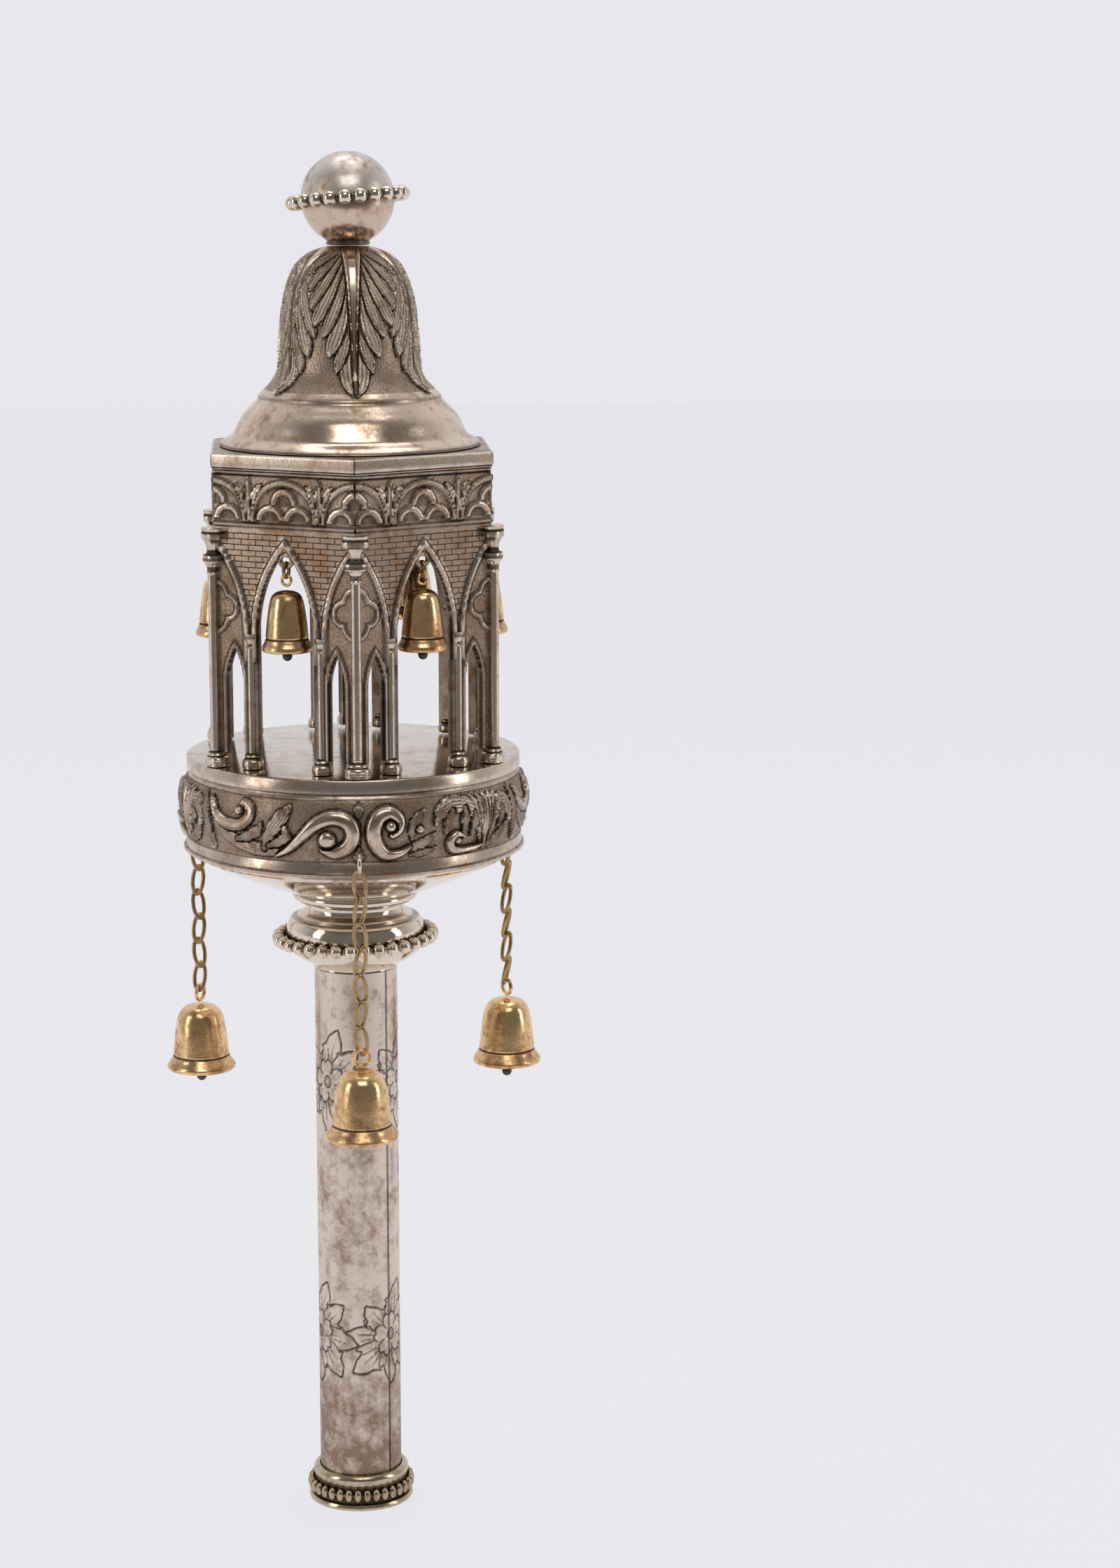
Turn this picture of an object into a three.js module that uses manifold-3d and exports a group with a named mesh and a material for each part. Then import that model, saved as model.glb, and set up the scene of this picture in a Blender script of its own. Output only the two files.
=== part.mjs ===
// A silver scroll finial: a hollow stem on a beaded foot, a knop and dish, a round drum with
// three belled chains, a six-sided arcaded lantern with bells in its arches, and a leafy dome
// under a ball. Millimetres, +Z up, origin on the axis at the underside of the foot. Azimuths
// are degrees from -Y towards +X, and the lantern has a corner at azimuth 0.
import * as THREE from 'three';
import { mergeVertices } from 'three/addons/utils/BufferGeometryUtils.js';
import Module from 'manifold-3d';

const wasm = await Module();
wasm.setup();

// Clearances
const gap = 0.3; // air between neighbouring pieces
const bite = 0.15; // how far chain links sink into each other where they touch

// Stem and foot
const boreRadius = 11.2;
const stemWall = 0.95;
const stemHeight = 164.2;
const footRadius = 15.5;
const footFlangeHeight = 1.5;
const footBeadCount = 30;
const footBeadReach = 16.1;
const footBeadHeight = 5.2;
const footTorusRadius = 14.3;
const footTorusHeight = 3.4;

// Collar, from the stem up to the drum
const cupHeight = 6.4;
const collarBeadCount = 34;
const collarBeadRadius = 2.15;
const collarBeadRingRadius = 22.6;
const collarBeadTilt = 1.2; // degrees, low at the left
const bulbHeight = 8.2;
const collarNeckRadius = 14.5;
const collarNeckHeight = 5.2;
const mouldingRadius = 18.2;
const mouldingHeight = 4.2;
const dishRadius = 46.6;
const dishHeight = 12;
const plugDepth = 0.6; // the disc under the collar that closes the stem and stops the stave

// Drum
const drumRadius = 49;
const drumHeight = 27.7;
const drumLip = 0.7;
const bandHeight = 4.2;
const filletHeight = 2;
const filletDepth = 1;
const reliefRaise = 2.2;
const scrollRepeats = 3;
const voluteRadius = 6.6;
const voluteOffset = 8.6;
const voluteWidth = 4.4;
const nearLeaf = [15, 33]; // where the leaf beside a volute starts and ends along the drum
const farLeaf = [31, 47];
const nearLeafWidth = 4.6;
const farLeafWidth = 4.2;
const sprayWidth = 4.4;

// Lantern
const sides = 6;
const lanternApothem = 39;
const wall = 2;
const arcadeHeight = 68.6;
const stringHeight = 1;
const friezeHeight = 13.3;
const bandRaise = 0.5; // arches and string course stand proud, blind arches sink, by this
const springDrop = 30; // from the string course down to where the arches spring
const archHalfWidth = 10.8;
const archRise = 27;
const archBand = 1.8;
const lancetPlace = 16.3;
const lancetHalfWidth = 2.5;
const lancetDrop = 14.2; // the lancets spring this much lower than the arches
const lancetRise = 9.6;
const friezeArchRadius = 10.4;
const friezeBand = 1.7;
const sideShaftRadius = 1.25;
const sideCapitalRadius = 1.95;
const sideFootRadius = 2.7;
const footRise = 4;
const cornerShaftRadius = 1.4;
const cornerCapitalRadius = 3.85;
const cornerNeckRadius = 3.3;
const cornerFootRadius = 3.4;
const cornerFlatness = 0.42; // how much of its spread a capital keeps towards the front
const cornerDrop = 0.7; // from the string course down to the top of a corner column
const corniceHeight = 5.6;
const corniceReach = 45.9;

// Dome
const domeBaseRadius = 37.5;
const ledgeHeight = 13.4;
const ledgeRadius = 26.3;
const waistHeight = 23;
const waistRadius = 19.9;
const shoulderHeight = 44.7;
const shoulderRadius = 16.9;
const domeHeight = 56.2;
const domeTopRadius = 6.3;
const leafRaise = 0.7;
const leafTip = 14.6;

// Ball
const orbRadius = 13.3;
const orbNeckRadius = 6;
const orbNeckHeight = 1.1;
const orbBeadCount = 23;
const orbBeadRadius = 2.05;
const orbRingTiltSide = 5.3; // degrees, low at the left
const orbRingTiltFront = 3.6; // degrees, high at the front

// Bells in the arches
const lugRadius = 2.6;
const lugHole = 1.15;
const lugThickness = 1.2;
const lugDrop = 9; // from the top of the wall under the frieze to the centre of the lug
const archLinkWire = 1.1;
const archLinkLength = 5.9;
const archLinkWidth = 4.2;
const archBell = {
  rimRadius: 7.1, bodyRadius: 5.1, height: 17.2, lipHeight: 4, wallThickness: 0.9,
  eyeHole: 1, eyeWire: 0.9, stem: 1.2, clapperRadius: 1.4, clapperDrop: 1.6, segments: 8,
};
const bareArches = [4]; // the bell of this arch, at the back on the left, is lost

// Bells on the chains
const chainCount = 3;
const chainReach = 4.5; // from the drum wall out to the chain
const linkCount = 7;
const linkPitch = 7.45;
const linkWire = 1;
const linkWidth = 4.3;
const eyeletRadius = 3.4;
const eyeletWire = 1.2;
const eyeletDrop = 22.6; // from the top of the drum to the centre of an eyelet
const chainBell = {
  rimRadius: 10.3, bodyRadius: 7.1, height: 20, lipHeight: 3.6, wallThickness: 1,
  eyeHole: 1.7, eyeWire: 1.2, stem: 0.9, clapperRadius: 1.4, clapperDrop: 1.1, segments: 10,
};

// Places that follow from the sizes
const stemRadius = boreRadius + stemWall;
const seatRadius = collarBeadRingRadius - collarBeadRadius - gap;
const collarBase = stemHeight + gap;
const collarBeadPlace = collarBase + cupHeight + collarBeadRadius + gap;
const collarTop = collarBase + cupHeight + bulbHeight + collarNeckHeight + mouldingHeight + dishHeight;
const drumBase = collarTop + gap;
const drumTop = drumBase + drumHeight;
const lanternBase = drumTop + gap;
const springHeight = arcadeHeight - springDrop;
const lancetSpring = springHeight - lancetDrop;
const cornerTop = arcadeHeight - cornerDrop;
const lanternHeight = arcadeHeight + stringHeight + friezeHeight;
const corniceBase = lanternBase + lanternHeight + gap;
const domeBase = corniceBase + corniceHeight + gap;
const orbBase = domeBase + domeHeight + gap;
const orbCentre = orbBase + orbNeckHeight + Math.sqrt(orbRadius ** 2 - orbNeckRadius ** 2);
const lanternCorner = lanternApothem / Math.cos(Math.PI / sides);
const facePitch = 2 * lanternApothem * Math.tan(Math.PI / sides);
const chainRadius = drumRadius + chainReach;

const radians = THREE.MathUtils.degToRad;

const metal = {
  silver: new THREE.MeshStandardMaterial({ color: 0x9a8b78, roughness: 0.38, metalness: 1 }),
  brightSilver: new THREE.MeshStandardMaterial({ color: 0xc9c0ac, roughness: 0.22, metalness: 1 }),
  gilt: new THREE.MeshStandardMaterial({ color: 0xb08a45, roughness: 0.3, metalness: 1 }),
  brass: new THREE.MeshStandardMaterial({ color: 0x8d7a4c, roughness: 0.4, metalness: 1 }),
};

// A closed body from any three.js geometry: shared vertices merged, empty faces dropped and
// the faces turned outwards.
function closedGeometry(geometry) {
  const bare = geometry.index ? geometry : mergeVertices(geometry);
  bare.deleteAttribute('normal');
  bare.deleteAttribute('uv');
  const merged = mergeVertices(bare, 1e-4);
  const from = merged.getIndex().array;
  const place = merged.getAttribute('position');
  const faces = [];
  let volume = 0;
  const [a, b, c] = [new THREE.Vector3(), new THREE.Vector3(), new THREE.Vector3()];
  for (let i = 0; i < from.length; i += 3) {
    const [p, q, r] = [from[i], from[i + 1], from[i + 2]];
    if (p === q || q === r || r === p) continue;
    faces.push(p, q, r);
    a.fromBufferAttribute(place, p);
    b.fromBufferAttribute(place, q);
    c.fromBufferAttribute(place, r);
    volume += a.dot(b.cross(c));
  }
  merged.setIndex(volume < 0 ? faces.reverse() : faces);
  return merged;
}

function toSolid(geometry) {
  const closed = closedGeometry(geometry);
  const vertProperties = Float32Array.from(closed.getAttribute('position').array);
  const triVerts = Uint32Array.from(closed.getIndex().array);
  return new wasm.Manifold(new wasm.Mesh({ numProp: 3, vertProperties, triVerts }));
}

function fromSolid(solid) {
  const mesh = solid.getMesh();
  const geometry = new THREE.BufferGeometry();
  geometry.setAttribute('position', new THREE.BufferAttribute(mesh.vertProperties, 3));
  geometry.setIndex(new THREE.BufferAttribute(mesh.triVerts, 1));
  return geometry;
}

function join(geometries) {
  return geometries.map(toSolid).reduce((whole, next) => whole.add(next));
}

// A turned body: profile points are [radius, height], from the axis to the axis or closed.
function turned(profile, segments) {
  const points = profile.map(([radius, height]) => new THREE.Vector2(radius, height));
  return new THREE.LatheGeometry(points, segments).rotateX(Math.PI / 2);
}

function turnedRing(profile, segments) {
  return turned([...profile, profile[0]], segments);
}

// Quarter of an ellipse between two profile points; it leaves the first one level or upright.
function quarter([r0, z0], [r1, z1], steps, leavesLevel) {
  const points = [];
  for (let i = 0; i <= steps; i += 1) {
    const angle = (i / steps) * (Math.PI / 2);
    const [early, late] = [Math.sin(angle), 1 - Math.cos(angle)];
    const [dr, dz] = leavesLevel ? [early, late] : [late, early];
    points.push([r0 + (r1 - r0) * dr, z0 + (z1 - z0) * dz]);
  }
  return points;
}

function eachVertex(geometry, move) {
  const place = geometry.getAttribute('position');
  const point = new THREE.Vector3();
  for (let i = 0; i < place.count; i += 1) {
    point.fromBufferAttribute(place, i);
    move(point);
    place.setXYZ(i, point.x, point.y, point.z);
  }
  return geometry;
}

// A string of beads bent into a ring: a torus that narrows between the beads.
function beadRing(ringRadius, beadRadius, count) {
  const steps = count * 2;
  const ring = new THREE.TorusGeometry(ringRadius, 1, 3, steps);
  return eachVertex(ring, (point) => {
    const turn = Math.round((Math.atan2(point.y, point.x) / (2 * Math.PI)) * steps);
    const thick = beadRadius * (turn % 2 === 0 ? 1 : 0.62);
    const out = Math.hypot(point.x, point.y);
    const scaled = (ringRadius + (out - ringRadius) * thick) / out;
    point.set(point.x * scaled, point.y * scaled, point.z * thick);
  });
}

// A round link stretched into an oval that stands in the XZ plane.
function oval(length, width, wire, steps, wireSides) {
  const inner = (width / 2 - wire) / Math.cos(Math.PI / steps);
  const middle = inner + wire / 2;
  const ring = new THREE.TorusGeometry(middle, wire / 2, wireSides, steps);
  ring.rotateZ(steps % 4 === 0 ? Math.PI / steps : 0);
  const stretch = (length - width) / 2;
  eachVertex(ring, (point) => {
    const out = Math.hypot(point.x, point.y);
    const mirrored = (2 * middle - out) / out; // the wire's sharp edge faces inwards
    point.x *= mirrored;
    point.y *= mirrored;
    point.y += Math.sign(Math.round(point.y * 1000)) * stretch;
  });
  return ring.rotateX(Math.PI / 2);
}

const finial = new THREE.Group();

function addPiece(name, geometry, material, azimuth = 0) {
  const mesh = new THREE.Mesh(closedGeometry(geometry), material);
  mesh.name = name;
  mesh.rotation.z = radians(azimuth);
  finial.add(mesh);
  return mesh;
}

function addStem() {
  const profile = [[boreRadius, 0], [stemRadius, 0], [stemRadius, stemHeight], [boreRadius, stemHeight]];
  addPiece('stem', turnedRing(profile, 20), metal.silver);
}

// The foot: a flat flange, a row of upright beads and a round moulding, all one stamped ring.
function addFoot() {
  const bore = stemRadius + gap;
  const beadTop = footFlangeHeight + footBeadHeight;
  const beadMiddle = footFlangeHeight + footBeadHeight / 2;
  const top = beadTop + footTorusHeight;
  const waist = footBeadReach - 1.7;
  const profile = [
    [bore, 0], [footRadius, 0], [footRadius - 0.4, footFlangeHeight], [footBeadReach, beadMiddle],
    [footTorusRadius, beadTop + footTorusHeight * 0.3], [bore, top],
  ];
  const steps = footBeadCount * 2;
  const ring = eachVertex(turnedRing(profile, steps), (point) => {
    const turn = Math.round((Math.atan2(point.x, -point.y) / (2 * Math.PI)) * steps);
    if (turn % 2 !== 0 && Math.abs(point.z - beadMiddle) < 0.01) {
      point.x *= waist / footBeadReach;
      point.y *= waist / footBeadReach;
    }
  });
  addPiece('foot_ring', ring, metal.gilt);
}

function addCollar() {
  const cupTop = cupHeight;
  const bulbTop = cupTop + bulbHeight;
  const neckTop = bulbTop + collarNeckHeight;
  const dishBase = neckTop + mouldingHeight;
  const top = dishBase + dishHeight;
  const rim = stemRadius + 0.4;
  const ledge = mouldingRadius - 1.6;
  const profile = [
    [0, -plugDepth], [boreRadius - gap, -plugDepth], [boreRadius - gap, 0],
    [rim, 0], ...quarter([rim, 0.6], [seatRadius, cupTop], 2, true),
    [seatRadius, cupTop + 2 * collarBeadRadius + gap],
    [seatRadius - 1.4, bulbTop - 1.4], [ledge, bulbTop],
    [collarNeckRadius, bulbTop + collarNeckHeight / 2], [mouldingRadius - 1, neckTop],
    [mouldingRadius, neckTop + mouldingHeight * 0.45], [mouldingRadius + 1.2, dishBase - 0.8],
    ...quarter([mouldingRadius + 4.4, dishBase], [dishRadius, top], 4, true).slice(0, 4),
    [dishRadius, top - 1], [dishRadius, top], [0, top],
  ];
  const shape = turned(profile, 20);
  shape.translate(0, 0, collarBase);
  addPiece('collar', shape, metal.brightSilver);

  const beads = addPiece(
    'collar_bead_ring',
    beadRing(collarBeadRingRadius, collarBeadRadius, collarBeadCount),
    metal.brightSilver,
  );
  beads.position.z = collarBeadPlace;
  beads.rotation.y = -radians(collarBeadTilt);
}

// Wraps a point given by its way round the drum, its height and how far it stands off the wall.
function onDrum(along, height, off) {
  const angle = along / drumRadius;
  const reach = drumRadius + off;
  return [reach * Math.sin(angle), -reach * Math.cos(angle), height];
}

// A raised stroke with a ridge, along points [way round, height, width, raise] on the drum.
function ridge(points) {
  const buried = -1.2;
  const vertices = [];
  const faces = [];
  points.forEach(([along, height, width, raise], i) => {
    const [before, after] = [points[Math.max(i - 1, 0)], points[Math.min(i + 1, points.length - 1)]];
    const [dx, dz] = [after[0] - before[0], after[1] - before[1]];
    const half = width / 2 / Math.hypot(dx, dz);
    vertices.push(
      ...onDrum(along - dz * half, height + dx * half, buried),
      ...onDrum(along, height, raise),
      ...onDrum(along + dz * half, height - dx * half, buried),
    );
    if (i === 0) return;
    for (let k = 0; k < 3; k += 1) {
      const [p, q] = [3 * i + k, 3 * i + ((k + 1) % 3)];
      faces.push(p - 3, p, q, p - 3, q, q - 3);
    }
  });
  const last = vertices.length / 3 - 3;
  faces.push(0, 1, 2, last, last + 2, last + 1);
  const geometry = new THREE.BufferGeometry();
  geometry.setAttribute('position', new THREE.Float32BufferAttribute(vertices, 3));
  geometry.setIndex(faces);
  return geometry;
}

// One volute: in from the leaf at its foot, over the top and round into its eye.
function volute(centre, middle, hand) {
  const points = [];
  const steps = 6;
  for (let i = 0; i <= steps; i += 1) {
    const share = i / steps;
    const angle = radians(150 - 400 * share);
    const radius = (voluteRadius - voluteWidth * 0.4) * (1 - 0.62 * share);
    points.push([
      centre + hand * (voluteOffset - radius * Math.cos(angle)),
      middle + radius * Math.sin(angle),
      voluteWidth * (0.75 + 0.5 * share),
      reliefRaise,
    ]);
  }
  return ridge(points);
}

function leafStroke(centre, middle, hand, from, to, width, steps) {
  const points = [];
  const half = voluteRadius;
  for (let i = 0; i <= steps; i += 1) {
    const share = i / steps;
    const sag = Math.sin(share * Math.PI) * from[2];
    points.push([
      centre + hand * (from[0] + (to[0] - from[0]) * share),
      middle + half * (from[1] + (to[1] - from[1]) * share + sag),
      width * (0.3 + 0.9 * Math.sin(Math.PI * (0.15 + 0.7 * share))),
      reliefRaise * 0.8,
    ]);
  }
  return ridge(points);
}

function addDrum() {
  const bandTop = bandHeight;
  const wallTop = drumHeight - bandHeight + 0.5;
  const profile = [
    [0, 0], [drumRadius + drumLip, 0], [drumRadius + drumLip, 0.8],
    [drumRadius, bandTop], [drumRadius - 0.4, bandTop + 0.8],
    [drumRadius - 0.4, wallTop - filletHeight],
    [drumRadius - filletDepth - 0.4, wallTop - filletHeight / 2], [drumRadius - 0.6, wallTop],
    [drumRadius - 0.6, drumHeight], [0, drumHeight],
  ];
  const body = turned(profile, 24);
  const middle = (bandTop + wallTop - filletHeight) / 2;
  const repeat = (2 * Math.PI * drumRadius) / scrollRepeats;
  const strokes = [];
  for (let i = 0; i < scrollRepeats; i += 1) {
    const centre = i * repeat;
    for (const hand of [-1, 1]) {
      strokes.push(
        volute(centre, middle, hand),
        leafStroke(
          centre, middle, hand, [nearLeaf[0], 0.1, -0.55], [nearLeaf[1], 0.3, 0], nearLeafWidth, 3,
        ),
        leafStroke(
          centre, middle, hand, [farLeaf[0], 0.1, -0.5], [farLeaf[1], 0.75, 0], farLeafWidth, 2,
        ),
      );
    }
    const far = centre + repeat / 2;
    strokes.push(leafStroke(far, middle, 1, [0, -0.95, 0.02], [0.4, 0.95, 0], sprayWidth, 2));
  }
  const solid = toSolid(body).add(join(strokes));
  const shape = fromSolid(solid);
  shape.translate(0, 0, drumBase);
  addPiece('drum', shape, metal.silver);
}

// Points of a pointed arch from its right spring over the apex to its left one.
function pointedArch(centre, spring, halfWidth, rise, inset, steps) {
  const back = (rise ** 2 - halfWidth ** 2) / (2 * halfWidth);
  const radius = halfWidth + back - inset;
  const apex = Math.acos(back / radius);
  const right = [];
  for (let i = 0; i <= steps; i += 1) {
    const angle = (i / steps) * apex;
    right.push([radius * Math.cos(angle) - back, radius * Math.sin(angle)]);
  }
  const left = right.slice(0, -1).reverse().map(([x, y]) => [-x, y]);
  return [...right, ...left].map(([x, y]) => [centre + x, spring + y]);
}

function roundArch(centre, base, radius, steps) {
  const points = [];
  for (let i = 0; i <= steps; i += 1) {
    const angle = (i / steps) * Math.PI;
    points.push([centre + radius * Math.cos(angle), base + radius * Math.sin(angle)]);
  }
  return points;
}

function plate(outline, from, to, holes = []) {
  const path = (points) => points.map(([x, y]) => new THREE.Vector2(x, y));
  const shape = new THREE.Shape(path(outline));
  shape.holes = holes.map((hole) => new THREE.Path(path(hole)));
  const geometry = new THREE.ExtrudeGeometry(shape, { depth: to - from, bevelEnabled: false });
  return geometry.translate(0, 0, from);
}

function raised(outline) {
  return plate(outline, wall - bandRaise, wall + bandRaise);
}

function sunk(outline) {
  return plate(outline, wall - bandRaise, wall + 2 * bandRaise);
}

// A half-round shaft with a capital and a foot, standing on the lower edge of the wall.
function sideShaft(place) {
  const profile = [
    [0, 0], [sideFootRadius, 0], [sideFootRadius, footRise * 0.45],
    [sideShaftRadius, footRise], [sideShaftRadius, springHeight - 4],
    [sideCapitalRadius, springHeight - 1], [0, springHeight + 0.3],
  ];
  const shaft = turned(profile, 4).rotateX(-Math.PI / 2);
  return shaft.translate(place, 0, wall - 0.3);
}

// The clear openings of one wall, cut up from its lower edge.
function openings() {
  const deep = 1;
  const cut = (centre, spring, halfWidth, rise, inset, steps) => {
    const arch = pointedArch(centre, spring, halfWidth, rise, inset, steps);
    const outline = [[arch.at(-1)[0], -deep], [arch[0][0], -deep], ...arch];
    return plate(outline, -deep, wall + deep + bandRaise);
  };
  return join([
    cut(0, springHeight, archHalfWidth, archRise, archBand, 3),
    ...[-1, 1].map((hand) => (
      cut(hand * lancetPlace, lancetSpring, lancetHalfWidth, lancetRise, 0, 2)
    )),
  ]);
}

// One wall of the lantern, made flat and clipped to the mitres at its two ends.
function lanternWall() {
  const top = lanternHeight;
  const front = wall + bandRaise;
  const mitreGap = gap / 2 / Math.cos(Math.PI / sides);
  const halfAt = (depth) => (lanternApothem - wall + depth) * Math.tan(Math.PI / sides) - mitreGap;
  const mitred = new THREE.Shape([
    new THREE.Vector2(-halfAt(0), 0), new THREE.Vector2(halfAt(0), 0),
    new THREE.Vector2(halfAt(front + 1.5), front + 1.5),
    new THREE.Vector2(-halfAt(front + 1.5), front + 1.5),
  ]);
  const block = new THREE.ExtrudeGeometry(mitred, { depth: top, bevelEnabled: false });
  block.rotateX(-Math.PI / 2);
  eachVertex(block, (point) => {
    point.z *= -1;
  });

  const wide = halfAt(front) + 2;
  const sheet = plate([[-wide, 0], [wide, 0], [wide, top], [-wide, top]], 0, wall);
  const openArch = raised(pointedArch(0, springHeight, archHalfWidth, archRise, 0, 3));
  const blindArches = [-1, 1].map((hand) => {
    const arch = pointedArch(hand * facePitch / 2, springHeight, archHalfWidth, archRise, archBand, 3);
    return sunk([[arch.at(-1)[0], -1], [arch[0][0], -1], ...arch]);
  });
  const friezeBase = arcadeHeight + stringHeight + gap;
  const stringTop = arcadeHeight + stringHeight;
  const string = raised(
    [[-wide, arcadeHeight], [wide, arcadeHeight], [wide, stringTop], [-wide, stringTop]],
  );
  const niches = [-1, 0, 1].map((place) => sunk(
    roundArch(place * facePitch / 2, friezeBase, friezeArchRadius - friezeBand, 6),
  ));
  const lugHeight = arcadeHeight - lugDrop;
  const circle = (radius, count) => Array.from({ length: count }, (_, i) => {
    const angle = ((i + 0.5) / count) * 2 * Math.PI;
    return [radius * Math.cos(angle), lugHeight + radius * Math.sin(angle)];
  });
  const mid = wall / 2;
  const lug = plate(
    circle(lugRadius, 6), mid - lugThickness / 2, mid + lugThickness / 2, [circle(lugHole, 4)],
  );
  const shafts = [-1, 1].map((hand) => sideShaft(hand * facePitch / 4));
  const carved = join([sheet, string, openArch]).subtract(join([...blindArches, ...niches]));
  const pierced = carved.subtract(openings());
  const whole = pierced.add(join([...shafts, lug])).intersect(toSolid(block));
  const shape = fromSolid(whole);
  shape.rotateX(Math.PI / 2);
  return shape.translate(0, wall - lanternApothem, lanternBase);
}

// The column over each corner: what stands outside the walls of a flattened turned shaft.
function cornerColumn() {
  const centre = lanternCorner + bandRaise + gap;
  const top = cornerTop;
  const profile = [
    [0, 0], [cornerFootRadius, 0], [cornerFootRadius, footRise * 0.45],
    [cornerShaftRadius, footRise], [cornerShaftRadius, top - 10],
    [cornerNeckRadius, top - 8.2], [cornerShaftRadius + 0.8, top - 6.6],
    [cornerCapitalRadius, top - 2.2], [cornerCapitalRadius, top], [0, top],
  ];
  const column = eachVertex(turned(profile, 6), (point) => {
    const out = Math.hypot(point.x, point.y);
    if (out > cornerShaftRadius) {
      point.y *= (cornerShaftRadius + (out - cornerShaftRadius) * cornerFlatness) / out;
    }
  });
  column.translate(0, -centre, lanternBase);
  const clear = (lanternApothem + bandRaise + gap) / Math.cos(Math.PI / sides);
  const above = lanternBase + lanternHeight;
  const core = turned([[0, 0], [clear, 0], [clear, above], [0, above]], sides);
  return fromSolid(toSolid(column).subtract(toSolid(core)));
}

function addLantern() {
  const turn = 360 / sides;
  const [wallShape, columnShape] = [lanternWall(), cornerColumn()];
  for (let i = 0; i < sides; i += 1) {
    addPiece(`arcade_wall_${i + 1}`, wallShape.clone(), metal.silver, (i + 0.5) * turn);
    addPiece(`corner_column_${i + 1}`, columnShape.clone(), metal.silver, i * turn);
  }
  const edge = corniceReach;
  const profile = [
    [0, 0], [edge - 0.9, 0], [edge - 0.5, 0.7], [edge - 1.1, 1.2], [edge, 1.6],
    [edge, corniceHeight - 0.5], [edge - 0.5, corniceHeight], [0, corniceHeight],
  ];
  addPiece('cornice', turned(profile, sides).translate(0, 0, corniceBase), metal.silver);
}

// How much of the leaf relief stands at a point of the dome, by azimuth and height.
function leafRelief(azimuth, height) {
  const turn = 360 / sides;
  const across = Math.abs(azimuth - turn * Math.round(azimuth / turn)) / (turn / 2);
  if (height < leafTip || height > domeHeight - 2) return 0;
  const rise = (height - leafTip) / (domeHeight - leafTip);
  const reach = 0.35 + 0.6 * Math.min(1, rise * 2.2);
  if (across > reach) return -leafRaise * 0.4;
  return across < 0.1 ? -leafRaise * 0.3 : leafRaise * (1 - 0.35 * across);
}

function addDome() {
  const profile = [
    [0, 0], [domeBaseRadius, 0], [domeBaseRadius - 3.6, 2.9], [domeBaseRadius - 5.8, 7.6],
    [domeBaseRadius - 9.7, 11.4], [ledgeRadius, ledgeHeight],
    [ledgeRadius - 4.6, leafTip + 4.4], [waistRadius, waistHeight],
    [(waistRadius + shoulderRadius) / 2 + 0.6, (waistHeight + shoulderHeight) / 2],
    ...quarter([shoulderRadius, shoulderHeight], [domeTopRadius, domeHeight], 2, false),
    [0, domeHeight],
  ];
  const dome = eachVertex(turned(profile, 36), (point) => {
    const out = Math.hypot(point.x, point.y);
    if (out < domeTopRadius + 0.5) return;
    const azimuth = THREE.MathUtils.radToDeg(Math.atan2(point.x, -point.y));
    const scaled = (out + leafRelief(azimuth, point.z)) / out;
    point.x *= scaled;
    point.y *= scaled;
  });
  addPiece('dome', dome.translate(0, 0, domeBase), metal.silver);
}

function addOrb() {
  const start = Math.asin(orbNeckRadius / orbRadius);
  const rise = orbCentre - orbBase;
  const steps = 6;
  const ball = [];
  for (let i = 0; i <= steps; i += 1) {
    const angle = start + ((Math.PI - start) * i) / steps;
    ball.push([i === steps ? 0 : orbRadius * Math.sin(angle), rise - orbRadius * Math.cos(angle)]);
  }
  const profile = [[0, 0], [orbNeckRadius, 0], ...ball];
  addPiece('orb', turned(profile, 14).translate(0, 0, orbBase), metal.silver);

  const ringRadius = orbRadius + gap + orbBeadRadius + 0.1;
  const beads = addPiece('orb_bead_ring', beadRing(ringRadius, orbBeadRadius, orbBeadCount), metal.silver);
  beads.position.z = orbCentre;
  beads.rotation.y = -radians(orbRingTiltSide);
  beads.rotation.x = -radians(orbRingTiltFront);
}

// An open bell hanging from its eye, whose hole is centred on the origin.
function bellShape(bell) {
  const { rimRadius, bodyRadius, height, lipHeight, wallThickness: thick, eyeHole, eyeWire } = bell;
  const crown = -(eyeHole + eyeWire + bell.stem);
  const rim = crown - height;
  const shoulder = crown - height * 0.26;
  const waist = bodyRadius + (rimRadius - bodyRadius) * 0.45;
  const profile = [
    [0, crown], ...quarter([bodyRadius, shoulder], [0, crown], 2, false).slice(0, 2).reverse(),
    [waist, rim + lipHeight], [rimRadius, rim + lipHeight * 0.5], [rimRadius - 0.2, rim],
    [rimRadius - thick - 0.5, rim], [bodyRadius - thick, shoulder - thick], [0, crown - thick],
  ];
  const eye = oval(2 * (eyeHole + eyeWire), 2 * (eyeHole + eyeWire), eyeWire, 6, 3);
  const stem = turned(
    [[0, crown - thick * 0.6], [eyeWire * 0.6, crown - thick * 0.6],
      [eyeWire * 0.6, -eyeHole - eyeWire * 0.3], [0, -eyeHole - eyeWire * 0.3]], 4,
  );
  return fromSolid(join([turned(profile, bell.segments), stem, eye]));
}

// The clapper hangs free on the bell's axis, clear of the crown.
function clapperShape(bell) {
  const crown = -(bell.eyeHole + bell.eyeWire + bell.stem) - bell.wallThickness;
  const bottom = -(bell.eyeHole + bell.eyeWire + bell.stem) - bell.height - bell.clapperDrop;
  const wire = 0.45;
  const middle = bottom + bell.clapperRadius;
  const wireTop = crown - gap - 2 * wire;
  const profile = [
    [0, bottom], [bell.clapperRadius, middle], [wire, middle + bell.clapperRadius],
    [wire, wireTop], [0, wireTop],
  ];
  return turned(profile, 5);
}

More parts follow.
